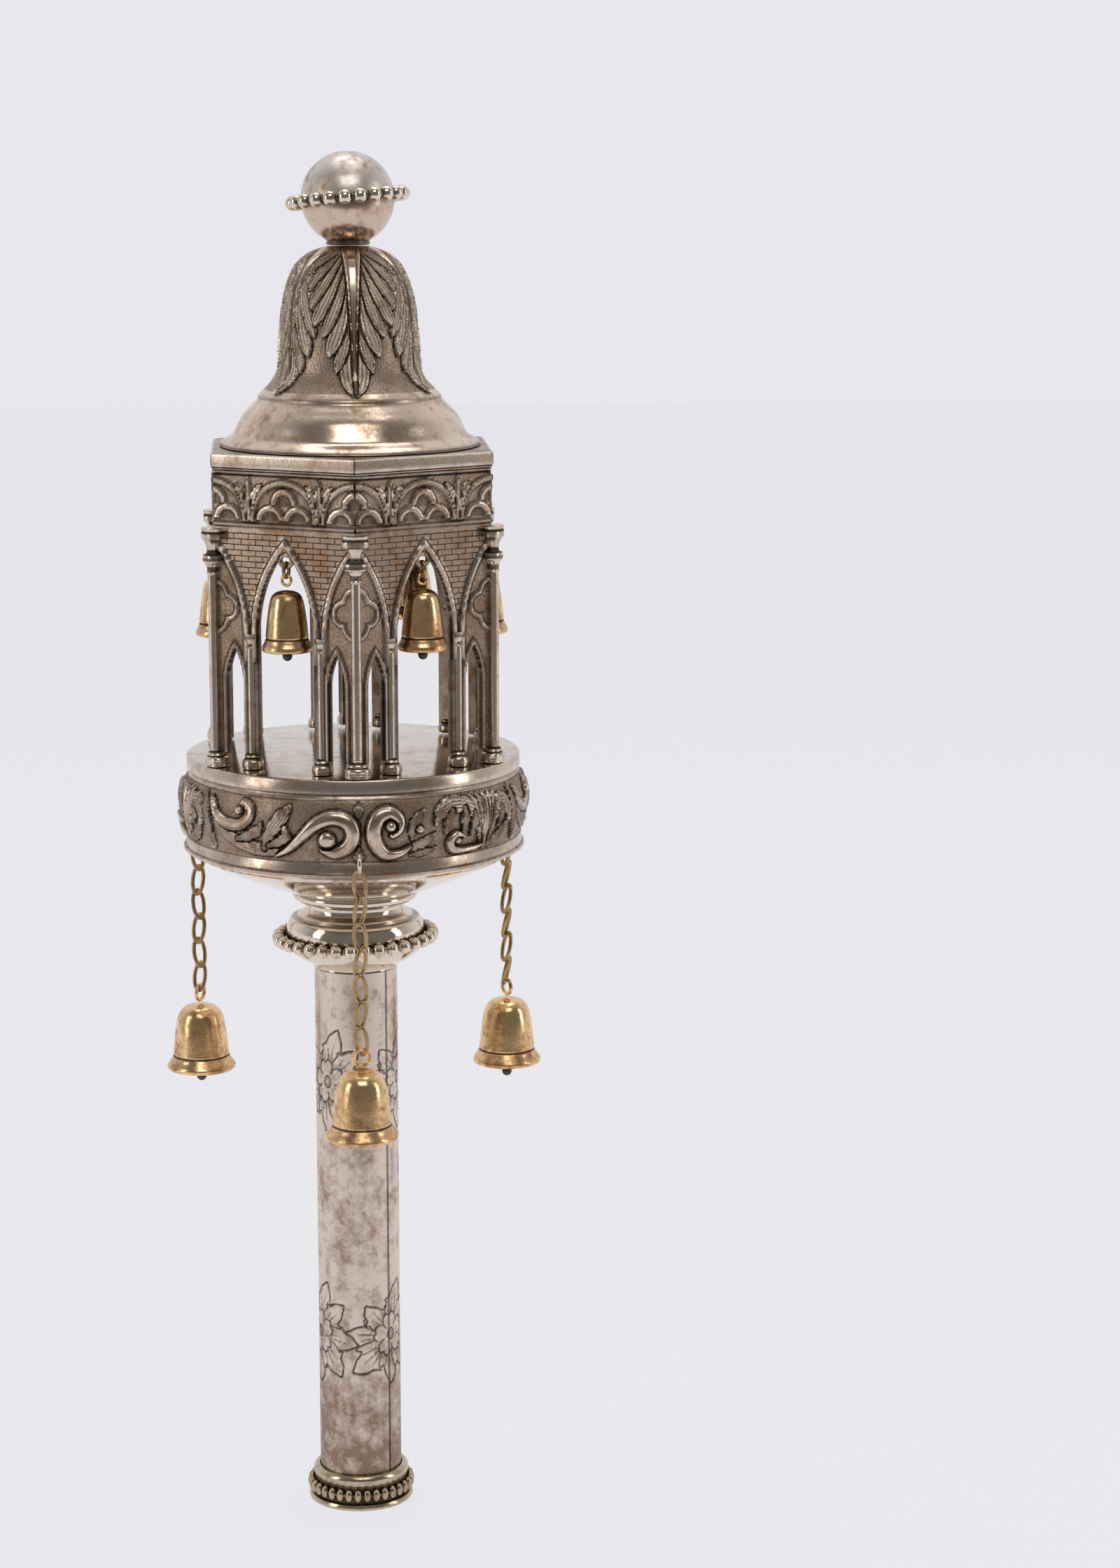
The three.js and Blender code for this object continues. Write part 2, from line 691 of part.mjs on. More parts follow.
function addArchBells() {
  const lugPlace = lanternBase + arcadeHeight - lugDrop;
  const radius = lanternApothem - wall / 2;
  const linkTop = lugPlace - lugHole + gap + archLinkWire;
  const linkPlace = linkTop - archLinkLength / 2;
  const linkBottomTop = linkPlace - archLinkLength / 2 + archLinkWire;
  const bellPlace = linkBottomTop + gap - archBell.eyeHole;
  const link = oval(archLinkLength, archLinkWidth, archLinkWire, 6, 3).rotateZ(Math.PI / 2);
  const [bell, clapper] = [bellShape(archBell), clapperShape(archBell)];
  for (let i = 0; i < sides; i += 1) {
    if (bareArches.includes(i + 1)) continue;
    const azimuth = (i + 0.5) * (360 / sides);
    const at = (shape, height) => shape.clone().translate(0, -radius, height);
    addPiece(`arch_bell_link_${i + 1}`, at(link, linkPlace), metal.gilt, azimuth);
    addPiece(`arch_bell_${i + 1}`, at(bell, bellPlace), metal.gilt, azimuth);
    addPiece(`arch_bell_clapper_${i + 1}`, at(clapper, bellPlace), metal.brass, azimuth);
  }
}

function addChains() {
  const eyeletPlace = drumTop - eyeletDrop;
  const linkLength = linkPitch + 2 * linkWire - bite;
  const firstTop = eyeletPlace - eyeletRadius + eyeletWire + gap + linkWire;
  const eyelet = oval(2 * eyeletRadius, 2 * eyeletRadius, eyeletWire, 6, 4).rotateZ(Math.PI / 2);
  const lastBottom = firstTop - (linkCount - 1) * linkPitch - linkLength;
  const bellPlace = lastBottom + linkWire + gap - chainBell.eyeHole;
  const links = Array.from({ length: linkCount }, (_, k) => {
    const link = oval(linkLength, linkWidth, linkWire, 6, 3);
    link.rotateZ(radians(k % 2 === 0 ? 0 : 90));
    return link.translate(0, 0, firstTop - linkLength / 2 - k * linkPitch);
  });
  const chain = fromSolid(join(links));
  const bell = bellShape(chainBell).rotateZ(Math.PI / 2);
  const clapper = clapperShape(chainBell);
  for (let i = 0; i < chainCount; i += 1) {
    const azimuth = i * (360 / chainCount);
    const at = (shape, height) => shape.clone().translate(0, -chainRadius, height);
    addPiece(`drum_eyelet_${i + 1}`, at(eyelet, eyeletPlace), metal.brightSilver, azimuth);
    addPiece(`chain_${i + 1}`, at(chain, 0), metal.brass, azimuth);
    addPiece(`chain_bell_${i + 1}`, at(bell, bellPlace), metal.gilt, azimuth);
    addPiece(`chain_bell_clapper_${i + 1}`, at(clapper, bellPlace), metal.brass, azimuth);
  }
}

addStem();
addFoot();
addCollar();
addDrum();
addLantern();
addDome();
addOrb();
addArchBells();
addChains();

export default finial;
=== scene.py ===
import math

import bmesh
import bpy
import numpy as np
from mathutils import Matrix, Vector


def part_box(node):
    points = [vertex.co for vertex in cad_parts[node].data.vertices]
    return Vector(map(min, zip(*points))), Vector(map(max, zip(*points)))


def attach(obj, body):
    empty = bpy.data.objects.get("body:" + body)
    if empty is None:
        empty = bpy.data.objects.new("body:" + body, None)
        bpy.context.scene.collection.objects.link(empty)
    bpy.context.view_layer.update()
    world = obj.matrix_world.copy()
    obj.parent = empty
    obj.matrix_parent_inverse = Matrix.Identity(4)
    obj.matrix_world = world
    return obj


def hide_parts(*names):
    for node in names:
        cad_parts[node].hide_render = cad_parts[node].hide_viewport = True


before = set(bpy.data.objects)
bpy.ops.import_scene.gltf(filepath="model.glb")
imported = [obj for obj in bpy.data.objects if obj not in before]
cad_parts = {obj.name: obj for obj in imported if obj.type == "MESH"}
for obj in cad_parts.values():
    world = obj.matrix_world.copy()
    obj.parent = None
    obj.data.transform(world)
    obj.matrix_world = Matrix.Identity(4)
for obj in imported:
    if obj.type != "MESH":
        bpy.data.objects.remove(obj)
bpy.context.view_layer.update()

mm = 0.001  # everything below is measured in millimetres until it becomes a mesh
print("frame loaded:", len(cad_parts), "solids")


# Nodes: a wire is a socket that can stand in a sum
class Wire:
    def __init__(self, tree, socket=None):
        self.tree = tree
        self.socket = socket

    def make(self, kind, settings=None, values=None, out=0):
        made = self.tree.nodes.new(kind)
        for name, value in (settings or {}).items():
            setattr(made, name, value)
        for key, value in (values or {}).items():
            if isinstance(value, Wire):
                self.tree.links.new(value.socket, made.inputs[key])
            else:
                made.inputs[key].default_value = value
        return Wire(self.tree, made.outputs[out] if len(made.outputs) else None)

    def maths(self, operation, *terms):
        return self.make("ShaderNodeMath", {"operation": operation}, dict(enumerate(terms)))

    def clamped(self, low=0.0, high=1.0):
        return self.maths("MINIMUM", self.maths("MAXIMUM", self, low), high)

    def __add__(self, other):
        return self.maths("ADD", self, other)

    __radd__ = __add__

    def __mul__(self, other):
        return self.maths("MULTIPLY", self, other)

    __rmul__ = __mul__

    def __sub__(self, other):
        return self.maths("SUBTRACT", self, other)

    def __rsub__(self, other):
        return self.maths("SUBTRACT", other, self)

    def blend(self, below, above):
        # below and above are colours, and self is how much of the one above shows
        values = {0: self, 6: shade(below), 7: shade(above)}
        return self.make("ShaderNodeMix", {"data_type": "RGBA"}, values, 2)

    def output(self, name):
        # another output of the node that this wire comes from
        return Wire(self.tree, self.socket.node.outputs[name])


def shade(colour):
    return colour if isinstance(colour, Wire) else (*colour, 1)


# Metals: what they all share, and then one dict for each
mixing = {
    "cloud": 0.4, "blotch": 0.35, "speck": 0.25, "grainScale": 2600.0, "streakScale": 420.0,
    "streakLong": 0.13, "stainCloud": 0.35, "stainBlotch": 0.65, "stainGain": 7.0, "wearAndHighlightGain": 1.5,
    "wearAndHighlightPatch": 0.9, "wearAndHighlightRough": 0.06, "mattedRough": 0.18, "darkRough": 0.3, "polishRough": 0.2,
    "stippleScale": 1500.0, "stippleGain": 1.6, "pits": 0.5, "brickStain": 0.3, "jointDark": 0.9,
    "jointDeep": 0.5, "dullAndLitStart": 1.15, "dullAndLitLow": 0.25, "dullAndLitSpeck": 1.3, "hatchLength": 60,
    "hatchStart": 0.02, "hatchDeep": 0.55, "hatchDark": 0.35, "bumpReach": 0.0004,
}
brickWork = {
    "Color1": (1, 1, 1, 1), "Color2": (0.8, 0.8, 0.8, 1), "Mortar": (0, 0, 0, 1), "Scale": 1.0,
    "Mortar Size": 0.017, "Mortar Smooth": 0.3, "Brick Width": 0.46, "Row Height": 0.158,
}


def metalFinish(name, look):
    finish = bpy.data.materials.new(name)
    finish.use_nodes = True
    finish.node_tree.nodes.clear()
    start = Wire(finish.node_tree)
    place = start.make("ShaderNodeTexCoord", out=3)

    def noise(scale, detail, rough, vector=place):
        return start.make("ShaderNodeTexNoise", None, {
            "Vector": vector, "Scale": scale, "Detail": detail, "Roughness": rough,
        })

    # the attribute holds dirt together with painted shade, matted ground, a channel that each metal reads its
    # own way, and wear together with painted highlight
    relief = start.make("ShaderNodeAttribute", {"attribute_name": "relief"})
    crest = relief.output("Alpha")
    cavity = start.make("ShaderNodeSeparateColor", None, {"Color": relief})
    matted, extra = cavity.output("Green"), cavity.output("Blue")

    cloud = noise(look["cloudScale"], 4.0, 0.6)
    blotch = noise(look["blotchScale"], 3.0, 0.65)
    speck = noise(look["speckScale"], 3.0, 0.65)
    grain = noise(mixing["grainScale"], 2.0, 0.55)
    mixed = cloud * mixing["cloud"] + blotch * mixing["blotch"] + speck * mixing["speck"]
    if look.get("spread"):
        mixed = mixed + extra * look["spread"]
    if look.get("streaks"):
        drawnOut = start.make("ShaderNodeMapping", None, {
            "Vector": place, "Scale": (1, 1, mixing["streakLong"]),
        })
        mixed = mixed + (noise(mixing["streakScale"], 3.0, 0.5, drawnOut) - 0.5) * look["streaks"]
    patches = ((mixed - look["patchStart"]) * look["patchGain"]).clamped()
    stained = cloud * mixing["stainCloud"] + blotch * mixing["stainBlotch"]
    stains = ((stained - look["stainStart"]) * mixing["stainGain"]).clamped()
    colour = patches.blend(look["light"], look["tarnish"])
    colour = (stains * look["stainShare"]).blend(colour, look["stain"])
    colour = (matted * look["mattedShare"]).blend(colour, look["ground"])
    # crests are lifted towards the worn colour, partly as wear and partly as a painted highlight
    wearAndHighlight = (crest * (mixing["wearAndHighlightGain"] - patches * mixing["wearAndHighlightPatch"])).clamped()
    colour = (wearAndHighlight * look["wearAndHighlightShare"]).blend(colour, look["wearAndHighlight"])
    dark = cavity
    bump = grain * look["grain"] + speck * look["dents"]
    if look.get("bricks"):
        sheet = start.make("ShaderNodeUVMap")
        brick = start.make("ShaderNodeTexBrick", {"offset": 0.5}, {"Vector": sheet, **brickWork})
        joints = brick.output("Fac") * extra
        colour = (extra * mixing["brickStain"]).blend(colour, look["stain"])
        dark = (cavity + joints * mixing["jointDark"]).clamped()
        bump = bump - joints * mixing["jointDeep"]
    stipple = start.make("ShaderNodeTexVoronoi", {"feature": "F1"}, {
        "Vector": place, "Scale": mixing["stippleScale"],
    })
    pits = (1 - stipple * mixing["stippleGain"]).clamped() * matted
    colour = (dark * look["darkShare"]).clamped().blend(colour, look["recess"])
    colour = (pits * mixing["pits"]).clamped().blend(colour, look["recess"])
    rough = look["rough"] + patches * look["roughSpread"] + matted * mixing["mattedRough"]
    rough = rough + dark * mixing["darkRough"] - wearAndHighlight * mixing["wearAndHighlightRough"]
    bump = bump - pits * mixing["pits"]
    if look.get("polish"):
        rough = rough - extra * mixing["polishRough"]
    # a paler, rougher top, partly a dull finish and partly painted light from above
    if look.get("dullAndLitTop"):
        dullAndLit = (mixing["dullAndLitStart"] - patches) * (mixing["dullAndLitLow"] + speck * mixing["dullAndLitSpeck"]) * extra
        colour = dullAndLit.clamped().blend(colour, look["dullAndLitTop"])
        rough = rough + extra * mixing["polishRough"]
    if look.get("hatch"):
        wave = start.maths("SINE", extra * (mixing["hatchLength"] * 2 * math.pi / look["hatch"]))
        lines = (wave * 0.5 + 0.5) * start.maths("GREATER_THAN", extra, mixing["hatchStart"])
        bump = bump + lines * mixing["hatchDeep"]
        colour = (lines * mixing["hatchDark"]).blend(colour, look["ground"])
    push = start.make("ShaderNodeBump", None, {
        "Strength": look["bump"], "Distance": mixing["bumpReach"], "Height": bump,
    })
    shader = start.make("ShaderNodeBsdfPrincipled", None, {
        "Base Color": colour, "Roughness": rough.clamped(0.05, 0.95), "Metallic": 1.0, "Normal": push,
    })
    start.make("ShaderNodeOutputMaterial", None, {"Surface": shader})
    return finish


oldSilver = {
    "light": (0.6, 0.5, 0.415), "tarnish": (0.17, 0.115, 0.078), "ground": (0.17, 0.12, 0.085),
    "recess": (0.012, 0.01, 0.008), "stain": (0.36, 0.2, 0.105), "wearAndHighlight": (0.8, 0.71, 0.61),
    "cloudScale": 70.0, "blotchScale": 210.0, "speckScale": 700.0, "patchStart": 0.45, "patchGain": 4.6,
    "stainStart": 0.53, "stainShare": 0.65, "mattedShare": 0.7, "darkShare": 0.97, "wearAndHighlightShare": 0.7,
    "rough": 0.23, "roughSpread": 0.16, "grain": 0.12, "dents": 0.3, "bump": 0.34,
}
carvedSilver = {
    **oldSilver, "light": (0.6, 0.475, 0.375), "ground": (0.32, 0.23, 0.165), "patchStart": 0.46,
    "dents": 0.14, "stainStart": 0.51, "stainShare": 0.8,
}
chasedSilver = metalFinish("chasedSilver", {**carvedSilver, "polish": True})
wallSilver = metalFinish("wallSilver", {**carvedSilver, "bricks": True, "ground": (0.34, 0.235, 0.16)})
stemSilver = metalFinish("stemSilver", {
    **oldSilver, "light": (0.74, 0.62, 0.525), "tarnish": (0.3, 0.21, 0.15), "stain": (0.38, 0.26, 0.18),
    "cloudScale": 60.0, "blotchScale": 230.0, "patchStart": 0.475, "patchGain": 4.8, "stainStart": 0.54,
    "stainShare": 0.55, "rough": 0.3, "roughSpread": 0.14, "dents": 0.16, "bump": 0.22, "spread": 0.19,
    "streaks": 0.16,
})
domeSilver = metalFinish("domeSilver", {
    **oldSilver, "light": (0.78, 0.63, 0.5), "tarnish": (0.27, 0.165, 0.1), "ground": (0.36, 0.265, 0.195),
    "wearAndHighlight": (0.97, 0.87, 0.76), "cloudScale": 60.0, "patchStart": 0.47, "patchGain": 3.8, "stainShare": 0.75,
    "rough": 0.19, "dents": 0.2, "hatch": 0.5, "wearAndHighlightShare": 1.0,
})
orbSilver = metalFinish("orbSilver", {
    **oldSilver, "light": (0.6, 0.45, 0.34), "tarnish": (0.25, 0.145, 0.085), "wearAndHighlight": (0.72, 0.6, 0.5),
    "dullAndLitTop": (0.74, 0.69, 0.63), "cloudScale": 80.0, "blotchScale": 230.0, "patchStart": 0.47,
    "patchGain": 6.0, "stainShare": 0.8, "rough": 0.18, "dents": 0.2,
})
cleanSilver = metalFinish("cleanSilver", {
    **oldSilver, "light": (0.8, 0.69, 0.56), "tarnish": (0.38, 0.27, 0.17), "stain": (0.45, 0.29, 0.15),
    "cloudScale": 60.0, "patchStart": 0.48, "patchGain": 3.0, "stainShare": 0.5, "rough": 0.12,
    "roughSpread": 0.1, "dents": 0.12, "bump": 0.15,
})
bellGilt = metalFinish("bellGilt", {
    **oldSilver, "light": (0.92, 0.63, 0.33), "tarnish": (0.38, 0.18, 0.07), "recess": (0.03, 0.016, 0.008),
    "stain": (0.26, 0.1, 0.035), "wearAndHighlight": (0.9, 0.63, 0.34), "cloudScale": 150.0, "blotchScale": 360.0,
    "speckScale": 1100.0, "patchStart": 0.47, "patchGain": 4.4, "stainShare": 0.8, "rough": 0.2,
    "roughSpread": 0.2, "dents": 0.3, "bump": 0.3, "wearAndHighlightShare": 0.5, "stainStart": 0.52, "spread": 0.07,
})
footGilt = metalFinish("footGilt", {
    **oldSilver, "light": (0.5, 0.39, 0.26), "tarnish": (0.2, 0.13, 0.075), "recess": (0.016, 0.011, 0.007),
    "wearAndHighlight": (0.7, 0.62, 0.5), "cloudScale": 160.0, "patchStart": 0.48, "rough": 0.2,
})
chainBrass = metalFinish("chainBrass", {
    **oldSilver, "light": (0.44, 0.27, 0.12), "tarnish": (0.085, 0.047, 0.02), "stain": (0.17, 0.08, 0.03),
    "wearAndHighlight": (0.5, 0.38, 0.2), "cloudScale": 300.0, "patchGain": 3.0, "rough": 0.24, "dents": 0.1, "bump": 0.1,
})
clapperIron = metalFinish("clapperIron", {
    **oldSilver, "light": (0.09, 0.075, 0.06), "tarnish": (0.035, 0.025, 0.02), "stain": (0.06, 0.04, 0.03),
    "wearAndHighlight": (0.12, 0.1, 0.08), "rough": 0.45,
})
print("metals made")


# Meshes from rows and columns of points
def gridMesh(name, points, wrapColumns=False, wrapRows=False, tint=None, sharp=40.0):
    rows, columns = points.shape[:2]
    index = np.arange(rows * columns).reshape(rows, columns)
    if wrapColumns:
        index = np.hstack([index, index[:, :1]])
    if wrapRows:
        index = np.vstack([index, index[:1]])
    quads = np.stack([index[:-1, :-1], index[:-1, 1:], index[1:, 1:], index[1:, :-1]], -1).reshape(-1, 4)
    flat = points.reshape(-1, 3)
    colours = None if tint is None else tint.reshape(-1, tint.shape[-1])
    return quadMesh(name, flat, quads, colours, sharp)


def quadMesh(name, flat, quads, colours=None, sharp=40.0):
    mesh = bpy.data.meshes.new(name)
    mesh.vertices.add(len(flat))
    mesh.vertices.foreach_set("co", (flat * mm).astype(np.float32).ravel())
    mesh.loops.add(quads.size)
    mesh.loops.foreach_set("vertex_index", quads.astype(np.int32).ravel())
    mesh.polygons.add(len(quads))
    mesh.polygons.foreach_set("loop_start", np.arange(0, quads.size, 4, dtype=np.int32))
    mesh.polygons.foreach_set("use_smooth", np.ones(len(quads), dtype=bool))
    mesh.update(calc_edges=True)
    layer = mesh.color_attributes.new("relief", "FLOAT_COLOR", "POINT")
    values = np.zeros((len(flat), 4), np.float32)
    if colours is not None:
        values[:, :colours.shape[1]] = colours
    layer.data.foreach_set("color", values.ravel())
    work = bmesh.new()
    work.from_mesh(mesh)
    bmesh.ops.remove_doubles(work, verts=work.verts, dist=1e-6)
    work.to_mesh(mesh)
    work.free()
    mesh.validate()
    mesh.set_sharp_from_angle(angle=math.radians(sharp))
    return mesh


def addPiece(name, mesh, finish, nodes):
    mesh.materials.clear()
    mesh.materials.append(finish)
    piece = bpy.data.objects.new(name, mesh)
    bpy.context.scene.collection.objects.link(piece)
    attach(piece, "root")
    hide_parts(*nodes)


def joined(name, meshes):
    work = bmesh.new()
    for mesh in meshes:
        work.from_mesh(mesh)
    whole = bpy.data.meshes.new(name)
    work.to_mesh(whole)
    work.free()
    return whole


def moved(mesh, place=(0, 0, 0), azimuth=0.0):
    # first to its place in front of the axis, then round to its azimuth
    mesh.transform(Matrix.Rotation(math.radians(azimuth), 4, "Z") @ Matrix.Translation(Vector(place) * mm))
    return mesh


def smoothLine(points, steps=5):
    # a soft curve through the points; extra numbers such as a width come along
    given = np.array(points, float)
    if len(given) < 3:
        share = np.linspace(0, 1, steps + 1)[:, None]
        return given[0] * (1 - share) + given[-1] * share
    ends = np.vstack([2 * given[0] - given[1], given, 2 * given[-1] - given[-2]])
    found = []
    for k in range(1, len(ends) - 2):
        a, b, c, d = ends[k - 1:k + 3]
        for t in np.arange(steps) / steps:
            found.append(0.5 * (2 * b + (c - a) * t + (2 * a - 5 * b + 4 * c - d) * t * t
                                + (3 * b - a - 3 * c + d) * t ** 3))
    found.append(given[-1])
    return np.array(found)


def turned(name, runs, columns=96, dirt=None, sharp=40.0, wrap=False, wearAndHighlight=0.35):
    # a profile of [radius, height] runs; each run is smooth and they meet at corners
    line = np.vstack([smoothLine(run, 4) if len(run) > 2 else np.array(run, float) for run in runs])
    line = line[np.r_[True, np.abs(np.diff(line, axis=0)).sum(1) > 1e-6]]
    line[:, 0] = np.maximum(line[:, 0], 0)
    angle = np.arange(columns) / columns * 2 * np.pi
    points = np.stack([
        line[:, :1] * np.sin(angle), -line[:, :1] * np.cos(angle), np.repeat(line[:, 1:2], columns, 1),
    ], -1)
    tint = np.zeros((*points.shape[:2], 4))
    tint[..., 3] = wearAndHighlight
    for low, high, amount in dirt or []:
        inside = (line[:, 1] > low) & (line[:, 1] < high)
        tint[inside, :, 0] = amount
        tint[inside, :, 3] = 0
    return gridMesh(name, points, True, wrap, tint, sharp)


# Carving: a height field on a sheet of columns x and rows y
def eased(value, low, high):
    share = np.clip((value - low) / (high - low), 0, 1)
    return share * share * (3 - 2 * share)


carvingLook = {
    "edgeHigh": 0.2, "edgeDark": 0.75, "rim": 0.3, "veins": (0.0, 0.42, 0.74), "veinWide": 0.2,
    "veinDeep": 0.3, "veinDark": 0.6, "plainTip": 0.15, "toothShape": 0.6, "toothWide": 0.16,
    "toothDark": 0.8, "lipPlace": 0.78, "lipWide": 0.2, "swell": 2.6, "foldPlace": 0.56, "foldWide": 0.1,
    "foldDark": 0.6, "crestGain": 1.3, "crestStart": 0.12,
}


class Carving:
    def __init__(self, x, y):
        self.x, self.y = x, y
        self.height = np.zeros((len(y), len(x)))
        self.matted = np.zeros_like(self.height)
        self.dark = np.zeros_like(self.height)
        self.extra = np.zeros_like(self.height)

    def window(self, points, reach):
        low, high = points[:, :2].min(0) - reach, points[:, :2].max(0) + reach
        columns = slice(*np.searchsorted(self.x, [low[0], high[0]]))
        rows = slice(*np.searchsorted(self.y, [low[1], high[1]]))
        return rows, columns

    def trace(self, line):
        # how far across the line, how far along it, how wide it is there, and its whole length
        rows, columns = self.window(line, line[:, 2].max() / 2 + 1)
        x, y = np.meshgrid(self.x[columns], self.y[rows])
        across = np.full(x.shape, 1e9)
        share, wide = np.zeros(x.shape), np.zeros(x.shape)
        steps = np.hypot(*np.diff(line[:, :2], axis=0).T)
        run = np.r_[0, np.cumsum(steps)]
        for k, step in enumerate(steps):
            if step < 1e-6:
                continue
            (ax, ay, aw), (bx, by, bw) = line[k, :3], line[k + 1, :3]
            ux, uy = (bx - ax) / step, (by - ay) / step
            along = np.clip((x - ax) * ux + (y - ay) * uy, 0, step)
            gapX, gapY = x - ax - along * ux, y - ay - along * uy
            far = np.hypot(gapX, gapY)
            side = np.where(ux * gapY - uy * gapX < 0, -1.0, 1.0)
            nearer = far < np.abs(across)
            across = np.where(nearer, far * side, across)
            share = np.where(nearer, (run[k] + along) / run[-1], share)
            wide = np.where(nearer, aw + (bw - aw) * along / step, wide)
        return (rows, columns), across, share, wide, run[-1]

    def lay(self, spot, shape, inside, outline):
        # the newest form lies over the older ones inside a dark outline
        height, matted, dark = self.height[spot], self.matted[spot], self.dark[spot]
        edge = outline & ~inside
        height[edge] = carvingLook["edgeHigh"] * height[edge]
        dark[edge] = np.maximum(dark[edge], carvingLook["edgeDark"])
        height[inside] = shape[inside]
        matted[inside] = 0
        dark[inside] = 0
        self.extra[spot][inside] = 0

    def leaf(self, points, high, lobes=0, notch=0.0, veins=carvingLook["veins"], rim=carvingLook["rim"],
             hatch=False, lip=0.0):
        # points carry a width; notches run back from the edge between the lobes, and a lip stands along it
        look = carvingLook
        line = smoothLine(points)
        line[:, 2] = np.maximum(line[:, 2], 0.1)
        spot, across, share, wide, length = self.trace(line)
        half, far = wide / 2, np.abs(across)
        tooth = np.abs(np.sin(np.pi * (lobes * share - 0.5 * far / half)))
        edge = half * (1 - notch * (1 - tooth ** look["toothShape"]))
        out = np.clip(far / edge, 0, 1)
        lines = sum(np.exp(-((far / half - place) * half / look["veinWide"]) ** 2) for place in veins)
        lines = lines * eased(1 - share, 0, look["plainTip"])
        cuts = look["toothDark"] * np.exp(-(tooth / look["toothWide"]) ** 2) * eased(far / half, 0.35, 0.7)
        lines = np.clip(lines + cuts, 0, 1)
        shape = high * (1 - out ** 4) ** 0.5 * (1 - look["veinDeep"] * lines)
        shape = shape * (1 - lip + lip * np.exp(-((out - look["lipPlace"]) / look["lipWide"]) ** 2))
        inside = far < edge
        self.lay(spot, shape, inside, far < edge + rim)
        self.dark[spot][inside] = (look["veinDark"] * lines)[inside]
        if hatch:
            self.extra[spot][inside] = ((share * length + 2) / mixing["hatchLength"])[inside]

    def roll(self, points, high, rim=0.35, hollow=0.0):
        # a smooth rounded strip, or with a hollow one that is dished between two edges
        look = carvingLook
        spot, across, _, wide, _ = self.trace(smoothLine(points, 8))
        out = np.abs(across) / (wide / 2)
        shape = high * (1 - np.clip(out, 0, 1) ** look["swell"]) ** 0.5
        shape = shape * (1 - hollow * (1 - eased(out, 0.42, 0.74)))
        self.lay(spot, shape, out < 1, np.abs(across) < wide / 2 + rim)
        if hollow:
            fold = np.exp(-((out - look["foldPlace"]) / look["foldWide"]) ** 2)
            self.dark[spot] += look["foldDark"] * fold * (out < 1)

    def boss(self, x, y, radius, high):
        spot = self.window(np.array([[x, y]]), radius + 1)
        gapX, gapY = np.meshgrid(self.x[spot[1]] - x, self.y[spot[0]] - y)
        far = np.hypot(gapX, gapY)
        shape = high * (1 - np.clip(far / radius, 0, 1) ** carvingLook["swell"]) ** 0.5
        self.lay(spot, shape, far < radius, far < radius + carvingLook["rim"])

    def tint(self, reach, gain, wrap=False):
        # hollows collect dirt, and the crests that stand over their surroundings are made bright, partly as
        # wear and partly as a painted highlight
        level = self.height
        for axis in (0, 1, 0, 1):
            level = softened(level, reach, axis, wrap and axis == 1)
        hollow = np.clip((level - self.height) * gain, 0, 1)
        cavity = np.clip(hollow + self.dark, 0, 1)
        over = (self.height - level) * gain * carvingLook["crestGain"] - carvingLook["crestStart"]
        crest = np.clip(over, 0, 1) * (1 - self.dark)
        return np.stack([cavity, self.matted, self.extra, crest], -1)


def softened(field, reach, axis, wrap):
    pads = [(0, 0), (0, 0)]
    pads[axis] = (reach + 1, reach)
    total = np.cumsum(np.pad(field, pads, mode="wrap" if wrap else "edge"), axis)
    width = 2 * reach + 1
    count = field.shape[axis]
    late = np.take(total, np.arange(width, width + count), axis)
    early = np.take(total, np.arange(count), axis)
    return (late - early) / width


def roundTheAxis(radius, height, angle):
    # points on rows of given radius and height, at columns of given angle
    return np.stack([radius * np.sin(angle), -radius * np.cos(angle), height], -1)


def oneRow(radius, height, angle):
    size = (1, len(angle))
    return roundTheAxis(np.full(size, radius), np.full(size, height), angle)


def paint(mesh, channel, amount):
    # one channel of the relief attribute, from a function of the mesh's points in millimetres
    count = len(mesh.vertices)
    place, values = np.zeros(count * 3, np.float32), np.zeros(count * 4, np.float32)
    mesh.vertices.foreach_get("co", place)
    layer = mesh.color_attributes.get("relief")
    if layer:
        layer.data.foreach_get("color", values)
    else:
        layer = mesh.color_attributes.new("relief", "FLOAT_COLOR", "POINT")
    values[channel::4] = np.clip(amount(*(place.reshape(-1, 3).T / mm)), 0, 1)
    layer.data.foreach_set("color", values)


def betweenBeads(count, ringRadius, beadRadius):
    # dark where two beads meet and where they touch the metal behind them
    def amount(x, y, z):
        turn = np.arctan2(y, x) / (2 * np.pi) * count
        gap = np.abs((turn + 0.5) % 1 - 0.5) * 2
        behind = (ringRadius - np.hypot(x, y)) / beadRadius
        return eased(gap, 0.6, 0.9) + eased(behind, 0.2, 0.8)
    return amount


# The tree that strings beads into a ring, and the one that hangs a chain
def geometryTree(name, inputs):
    tree = bpy.data.node_groups.new(name, "GeometryNodeTree")
    for label, kind in inputs.items():
        tree.interface.new_socket(label, in_out="INPUT", socket_type=kind)
    tree.interface.new_socket("Geometry", in_out="OUTPUT", socket_type="NodeSocketGeometry")
    given = tree.nodes.new("NodeGroupInput")
    return Wire(tree), {label: Wire(tree, given.outputs[label]) for label in inputs}


def closeTree(start, shape, metal):
    real = start.make("GeometryNodeRealizeInstances", None, {0: shape})
    shaded = start.make("GeometryNodeSetShadeSmooth", None, {"Geometry": real})
    start.make("NodeGroupOutput", None, {0: start.make("GeometryNodeSetMaterial", None, {
        "Geometry": shaded, "Material": metal,
    })})
    return start.tree


